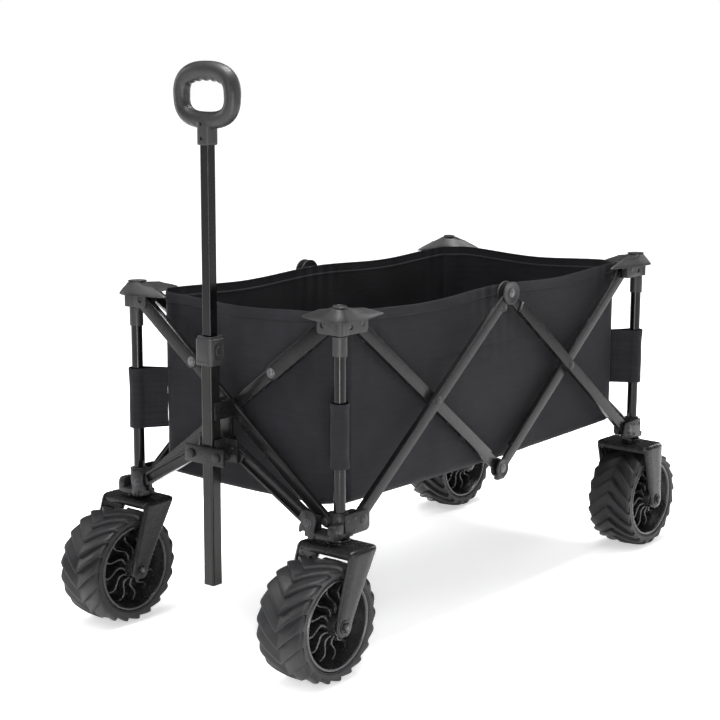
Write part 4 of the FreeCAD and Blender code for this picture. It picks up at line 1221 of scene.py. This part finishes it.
def make_bag():
    rows = wall_heights()
    total = SEAM_REAR - SEAM_FRONT
    for side, sign in SIDES.items():
        columns = 111
        supports = (0.0, HALFWAY - SEAM_FRONT, total)
        # only the right wall has a stiffened panel that stands out a little
        panel = (HALFWAY - SEAM_FRONT - 0.165, HALFWAY - SEAM_FRONT + 0.105) if sign > 0 else None

        def side_at(column, row):
            run = total * column / (columns - 1)
            base = Vector((sign * BAG_SIDE, SEAM_FRONT + run, 0))
            return wall_point(base, Vector((sign, 0, 0)), run, total, rows[row], 1.3 + sign, supports, panel)

        wall = sheet_of("wall", columns, len(rows), side_at)
        cloth_map(wall, lambda point: point.y, lambda point: point.z)
        wall = finish_wall(wall, f"bag_side_{side}_cloth", lambda face: face.normal.x * sign)
        piece(wall, f"cap_front_{side}", "bag_fabric", (f"bag_side_{side}",), 60)
        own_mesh(wall)

    for end, sign in (("front", -1), ("rear", 1)):
        seam_y = SEAM_FRONT if sign < 0 else SEAM_REAR
        wall_y = BAG_FRONT if sign < 0 else BAG_REAR
        across = 2 * (BAG_SIDE - BAG_CUT)
        diagonal = BAG_CUT * math.sqrt(2)
        length_all = across + 2 * diagonal
        turn_steps = 9
        # from the left seam round the corner, across, and round the other corner, with soft bends
        outline = []
        for step in range(turn_steps):
            share = step / (turn_steps - 1)
            outline.append((-BAG_SIDE + BAG_CUT * share, seam_y + (wall_y - seam_y) * share))
        count = 60
        for step in range(1, count):
            outline.append((-BAG_SIDE + BAG_CUT + across * step / count, wall_y))
        outline += [(-x, y) for x, y in reversed(outline[:turn_steps])]
        runs = [0.0]
        for first, last in zip(outline[:-1], outline[1:]):
            runs.append(runs[-1] + math.dist(first, last))
        outs = []
        for x, y in outline:
            lean = ease(abs(x), BAG_SIDE - BAG_CUT - 0.010, BAG_SIDE - BAG_CUT + 0.010)
            side_turn = ease(abs(x), BAG_SIDE - 0.008, BAG_SIDE + 0.001)
            angle = math.radians(45) * (lean + side_turn)
            outward_x = math.copysign(math.sin(angle), x) if lean > 0 else 0.0
            outs.append(Vector((outward_x, sign * math.cos(angle), 0)))
        supports = (0.0, diagonal, length_all - diagonal, length_all)

        def end_at(column, row):
            x, y = outline[column]
            run = runs[column]
            rounding = 0.0022 * math.exp(-((abs(x) - (BAG_SIDE - BAG_CUT)) / 0.007) ** 2)
            base = Vector((x, y, 0)) - outs[column] * rounding
            return wall_point(base, outs[column], run, length_all, rows[row], 2.9 * sign, supports)

        wall = sheet_of("wall", len(outline), len(rows), end_at)
        cloth_map(wall, lambda point: point.x + point.y * 0.7, lambda point: point.z)
        wall = finish_wall(wall, f"bag_{end}_cloth", lambda face: face.normal.y * sign)
        piece(wall, "cap_front_right" if sign < 0 else "cap_rear_right", "bag_fabric", (f"bag_{end}",), 60)
        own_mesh(wall)
    make_floor()
    make_sleeves()


def make_floor():
    """Two stiffened floor panels with rounded edges that dip a little between their seams."""
    for side, sign in SIDES.items():
        low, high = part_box(f"bag_floor_{side}")
        columns, rows = 25, 61
        inner, outer = (low.x, high.x) if sign > 0 else (high.x, low.x)

        def floor_at(column, row):
            across, back = column / (columns - 1), row / (rows - 1)
            y = low.y + (high.y - low.y) * back
            cut_off = max(0.0, BAG_CUT - (min(y - low.y, high.y - y)))
            x = inner + (outer - sign * cut_off - inner) * across
            dip = math.sin(math.pi * across) * math.sin(math.pi * back)
            seam = (0.0012 * math.exp(-((across - 0.06) / 0.02) ** 2)
                    + 0.0012 * math.exp(-((across - 0.94) / 0.02) ** 2))
            seam += 0.0012 * sum(math.exp(-((back - place) / 0.008) ** 2) for place in (0.03, 0.5, 0.97))
            return Vector((x, y, high.z - 0.0006 + 0.0009 * dip - seam))

        panel = sheet_of("floor", columns, rows, floor_at)
        cloth_map(panel, lambda point: point.x, lambda point: point.y)
        face_out(panel, lambda face: face.normal.z)
        modify(panel, "SOLIDIFY", thickness=0.0032, offset=-1.0)
        soften(panel, 0.0012, 2, 60)
        panel.name = panel.data.name = f"bag_floor_{side}_panel"
        paint(panel, "bag_fabric")
        piece(panel, f"bag_floor_{side}", "bag_fabric", (f"bag_floor_{side}",), 60)
        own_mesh(panel)


def make_sleeves():
    """A cloth sleeve round each post with a web to the bag's corner."""
    made = sizes()
    low, top = made.sleeve_low, made.sleeve_top
    heights = [low, low + 0.0015, low + 0.010, low + 0.0115, low + 0.030, low + 0.050, low + 0.072,
               top - 0.0115, top - 0.010, top - 0.0015, top]
    radius = 0.0135
    for corner, (out, away) in CORNERS.items():
        post = POSTS[corner]
        # the plan of the sleeve in the corner's own directions, from the bag round the post and back
        target = Vector((-0.0365, -0.0345, 0))
        inward = target.normalized()
        side = Vector((-inward.y, inward.x, 0))
        plan = [target + side * 0.0020, (target * 0.75 + side * 0.0026), target * 0.55 + side * 0.0058]
        for step in range(17):
            turn = math.radians(42 + (360 - 84) * step / 16)
            plan.append(inward * radius * math.cos(turn) + side * radius * math.sin(turn))
        plan += [target * 0.55 - side * 0.0058, target * 0.75 - side * 0.0026, target - side * 0.0020]
        count = len(plan)

        def sleeve_at(column, row):
            spot, z = plan[column], heights[row]
            wave = 0.0006 * math.sin(z * 90 + column * 0.7) + 0.0004 * math.sin(z * 170 + column * 1.9)
            edge = 0.0006 if row < 3 or row > len(heights) - 4 else 0.0
            grown = spot + spot.normalized() * (wave * ease(spot.length, 0.0, 0.01) + edge)
            return Vector((post.x + out * grown.x, post.y + away * grown.y, z))

        sleeve = sheet_of("sleeve", count, len(heights), sleeve_at)
        cloth_map(sleeve, lambda point: math.atan2(point.y - post.y, point.x - post.x) * radius,
                  lambda point: point.z)
        face_out(sleeve, lambda face: face.normal.xy.dot(face.center.xy - post.xy)
                 if (face.center.xy - post.xy).length < radius + 0.002 else 0.0)
        modify(sleeve, "SOLIDIFY", thickness=0.0012, offset=1.0)
        modify(sleeve, "SUBSURF", levels=1, render_levels=1)
        sleeve.name = sleeve.data.name = f"bag_sleeve_{corner}"
        paint(sleeve, "bag_fabric")
        piece(sleeve, f"cap_{corner}", "bag_fabric", (), 60)


# ---------------------------------------------------------------- stage

def lamp(name, place, target, size, power):
    light = bpy.data.lights.new(name, "AREA")
    light.shape = "RECTANGLE"
    light.size, light.size_y = size
    light.energy = power
    obj = bpy.data.objects.new(name, light)
    obj.location = place
    obj.rotation_mode = "QUATERNION"
    obj.rotation_quaternion = (Vector(target) - Vector(place)).to_track_quat("-Z", "Y")
    bpy.context.scene.collection.objects.link(obj)
    return obj


def make_stage():
    clear()
    bpy.ops.mesh.primitive_plane_add(size=40.0)
    floor = settle("studio_floor")
    made, tree, shader, where = fresh_material("studio_floor")
    tone = colours().floor
    spot = noise(tree, where.outputs["Object"], 1.2, 2.0)
    light = [channel * 1.01 for channel in tone]
    tree.links.new(two_tone(tree, spot, tone, light), shader.inputs["Base Color"])
    shader.inputs["Roughness"].default_value = 0.75
    shader.inputs["Specular IOR Level"].default_value = 0.2
    shader.inputs["Emission Color"].default_value = (1.0, 1.0, 1.0, 1.0)
    shader.inputs["Emission Strength"].default_value = 0.48
    floor.data.materials.append(made)
    world = bpy.data.worlds.new("studio")
    world.use_nodes = True
    tree = world.node_tree
    backdrop = tree.nodes["Background"]
    backdrop.inputs["Strength"].default_value = 1.0
    # a white backdrop that gives the wagon only a low, even fill
    rays = tree.nodes.new("ShaderNodeLightPath")
    tree.links.new(two_tone(tree, rays.outputs["Is Camera Ray"], (0.07, 0.07, 0.073), (1.0, 1.0, 1.0)),
                   backdrop.inputs["Color"])
    bpy.context.scene.world = world
    target = (0.0, 0.0, 0.4)
    sun = bpy.data.lights.new("ceiling", "SUN")
    sun.energy = 2.2
    sun.angle = math.radians(75)
    ceiling = bpy.data.objects.new("ceiling", sun)
    ceiling.rotation_euler = (math.radians(8), math.radians(-6), 0)
    bpy.context.scene.collection.objects.link(ceiling)
    lamp("top_strip", (0.0, 0.0, 2.9), target, (0.5, 2.6), 120.0)
    low = lamp("low_strip", (1.12, -1.50, 0.42), (0.2, -0.4, 0.42), (0.22, 0.82), 13.0)
    low.visible_camera = False
    lamp("front_strip", (0.35, -4.6, 1.5), target, (0.5, 2.6), 40.0)
    lamp("left_strip", (-4.4, -1.6, 1.6), target, (0.9, 2.8), 60.0)
    lamp("right_strip", (4.6, 1.2, 1.7), target, (0.7, 2.8), 60.0)
    lamp("rear_strip", (0.6, 4.8, 1.8), target, (1.2, 2.4), 60.0)
    camera = bpy.data.cameras.new("camera")
    camera.sensor_width = 36.0
    camera.lens = 84.08
    obj = bpy.data.objects.new("camera", camera)
    bpy.context.scene.collection.objects.link(obj)
    yaw, pitch, roll = 2.2542, 0.1855, 0.0034
    forward = Vector((math.cos(yaw) * math.cos(pitch), math.sin(yaw) * math.cos(pitch), -math.sin(pitch)))
    right = forward.cross(Vector((0, 0, 1))).normalized()
    up = right.cross(forward)
    right, up = (right * math.cos(roll) + up * math.sin(roll), up * math.cos(roll) - right * math.sin(roll))
    turn = Matrix((right, up, -forward)).transposed().to_4x4()
    obj.matrix_world = Matrix.Translation((1.8182, -2.3311, 0.9577)) @ turn
    bpy.context.scene.camera = obj
    bpy.context.scene.view_settings.view_transform = "Standard"


# ---------------------------------------------------------------- operators and panel

class WAGON_OT_materials(bpy.types.Operator):
    """Make the paints, plastics, rubber and cloth"""
    bl_idname = "wagon.materials"
    bl_label = "Materials"

    def execute(self, context):
        make_materials()
        return {"FINISHED"}


class WAGON_OT_posts(bpy.types.Operator):
    """Finish the posts, their bushes and the sliding rods"""
    bl_idname = "wagon.posts"
    bl_label = "Posts"

    def execute(self, context):
        make_posts()
        return {"FINISHED"}


class WAGON_OT_bars(bpy.types.Operator):
    """Lay the crossed bars and their middle hinges"""
    bl_idname = "wagon.bars"
    bl_label = "Crossed bars"

    def execute(self, context):
        make_bars()
        return {"FINISHED"}


class WAGON_OT_caps(bpy.types.Operator):
    """Put a winged cap on each corner"""
    bl_idname = "wagon.caps"
    bl_label = "Corner caps"

    def execute(self, context):
        make_caps()
        return {"FINISHED"}


class WAGON_OT_brackets(bpy.types.Operator):
    """Put a bracket at the foot of each post"""
    bl_idname = "wagon.brackets"
    bl_label = "Brackets"

    def execute(self, context):
        make_brackets()
        return {"FINISHED"}


class WAGON_OT_forks(bpy.types.Operator):
    """Press the four forks and fit their axles"""
    bl_idname = "wagon.forks"
    bl_label = "Forks"

    def execute(self, context):
        make_forks()
        return {"FINISHED"}


class WAGON_OT_wheels(bpy.types.Operator):
    """Mould the lugged tyres and vaned rims"""
    bl_idname = "wagon.wheels"
    bl_label = "Wheels"

    def execute(self, context):
        make_wheels()
        return {"FINISHED"}


class WAGON_OT_drawbar(bpy.types.Operator):
    """Fit the drawbar arms, their mount and the handle's yoke"""
    bl_idname = "wagon.drawbar"
    bl_label = "Drawbar"

    def execute(self, context):
        make_drawbar()
        return {"FINISHED"}


class WAGON_OT_handle(bpy.types.Operator):
    """Finish the handle's tubes, lock collar and release button"""
    bl_idname = "wagon.handle"
    bl_label = "Handle"

    def execute(self, context):
        make_handle()
        return {"FINISHED"}


class WAGON_OT_grip(bpy.types.Operator):
    """Mould the ring grip"""
    bl_idname = "wagon.grip"
    bl_label = "Grip"

    def execute(self, context):
        make_grip()
        return {"FINISHED"}


class WAGON_OT_bag(bpy.types.Operator):
    """Sew the bag, its floor and the sleeves round the posts"""
    bl_idname = "wagon.bag"
    bl_label = "Bag"

    def execute(self, context):
        make_bag()
        return {"FINISHED"}


class WAGON_OT_stage(bpy.types.Operator):
    """Set the floor, the lamps and the camera"""
    bl_idname = "wagon.stage"
    bl_label = "Stage"

    def execute(self, context):
        make_stage()
        return {"FINISHED"}


OPERATORS = (WAGON_OT_materials, WAGON_OT_posts, WAGON_OT_bars, WAGON_OT_caps, WAGON_OT_brackets,
             WAGON_OT_forks, WAGON_OT_wheels, WAGON_OT_drawbar, WAGON_OT_handle,
             WAGON_OT_grip, WAGON_OT_bag, WAGON_OT_stage)


class WAGON_PT_sidebar(bpy.types.Panel):
    """Sizes, colours and the steps that build the wagon"""
    bl_idname = "WAGON_PT_sidebar"
    bl_label = "Folding wagon"
    bl_space_type = "VIEW_3D"
    bl_region_type = "UI"
    bl_category = "Wagon"

    def draw(self, context):
        for group in (context.scene.wagon_sizes, context.scene.wagon_colours):
            box = self.layout.box()
            for name in group.__annotations__:
                box.prop(group, name)
        for operator in OPERATORS:
            self.layout.operator(operator.bl_idname)


CLASSES = (WagonSizes, WagonColours, *OPERATORS, WAGON_PT_sidebar)


def register():
    for item in CLASSES:
        bpy.utils.register_class(item)
    bpy.types.Scene.wagon_sizes = bpy.props.PointerProperty(type=WagonSizes)
    bpy.types.Scene.wagon_colours = bpy.props.PointerProperty(type=WagonColours)


def unregister():
    del bpy.types.Scene.wagon_colours
    del bpy.types.Scene.wagon_sizes
    for item in reversed(CLASSES):
        bpy.utils.unregister_class(item)


def main():
    register()
    for operator in OPERATORS:
        group, name = operator.bl_idname.split(".")
        getattr(getattr(bpy.ops, group), name)()


if __name__ == "__main__":
    main()
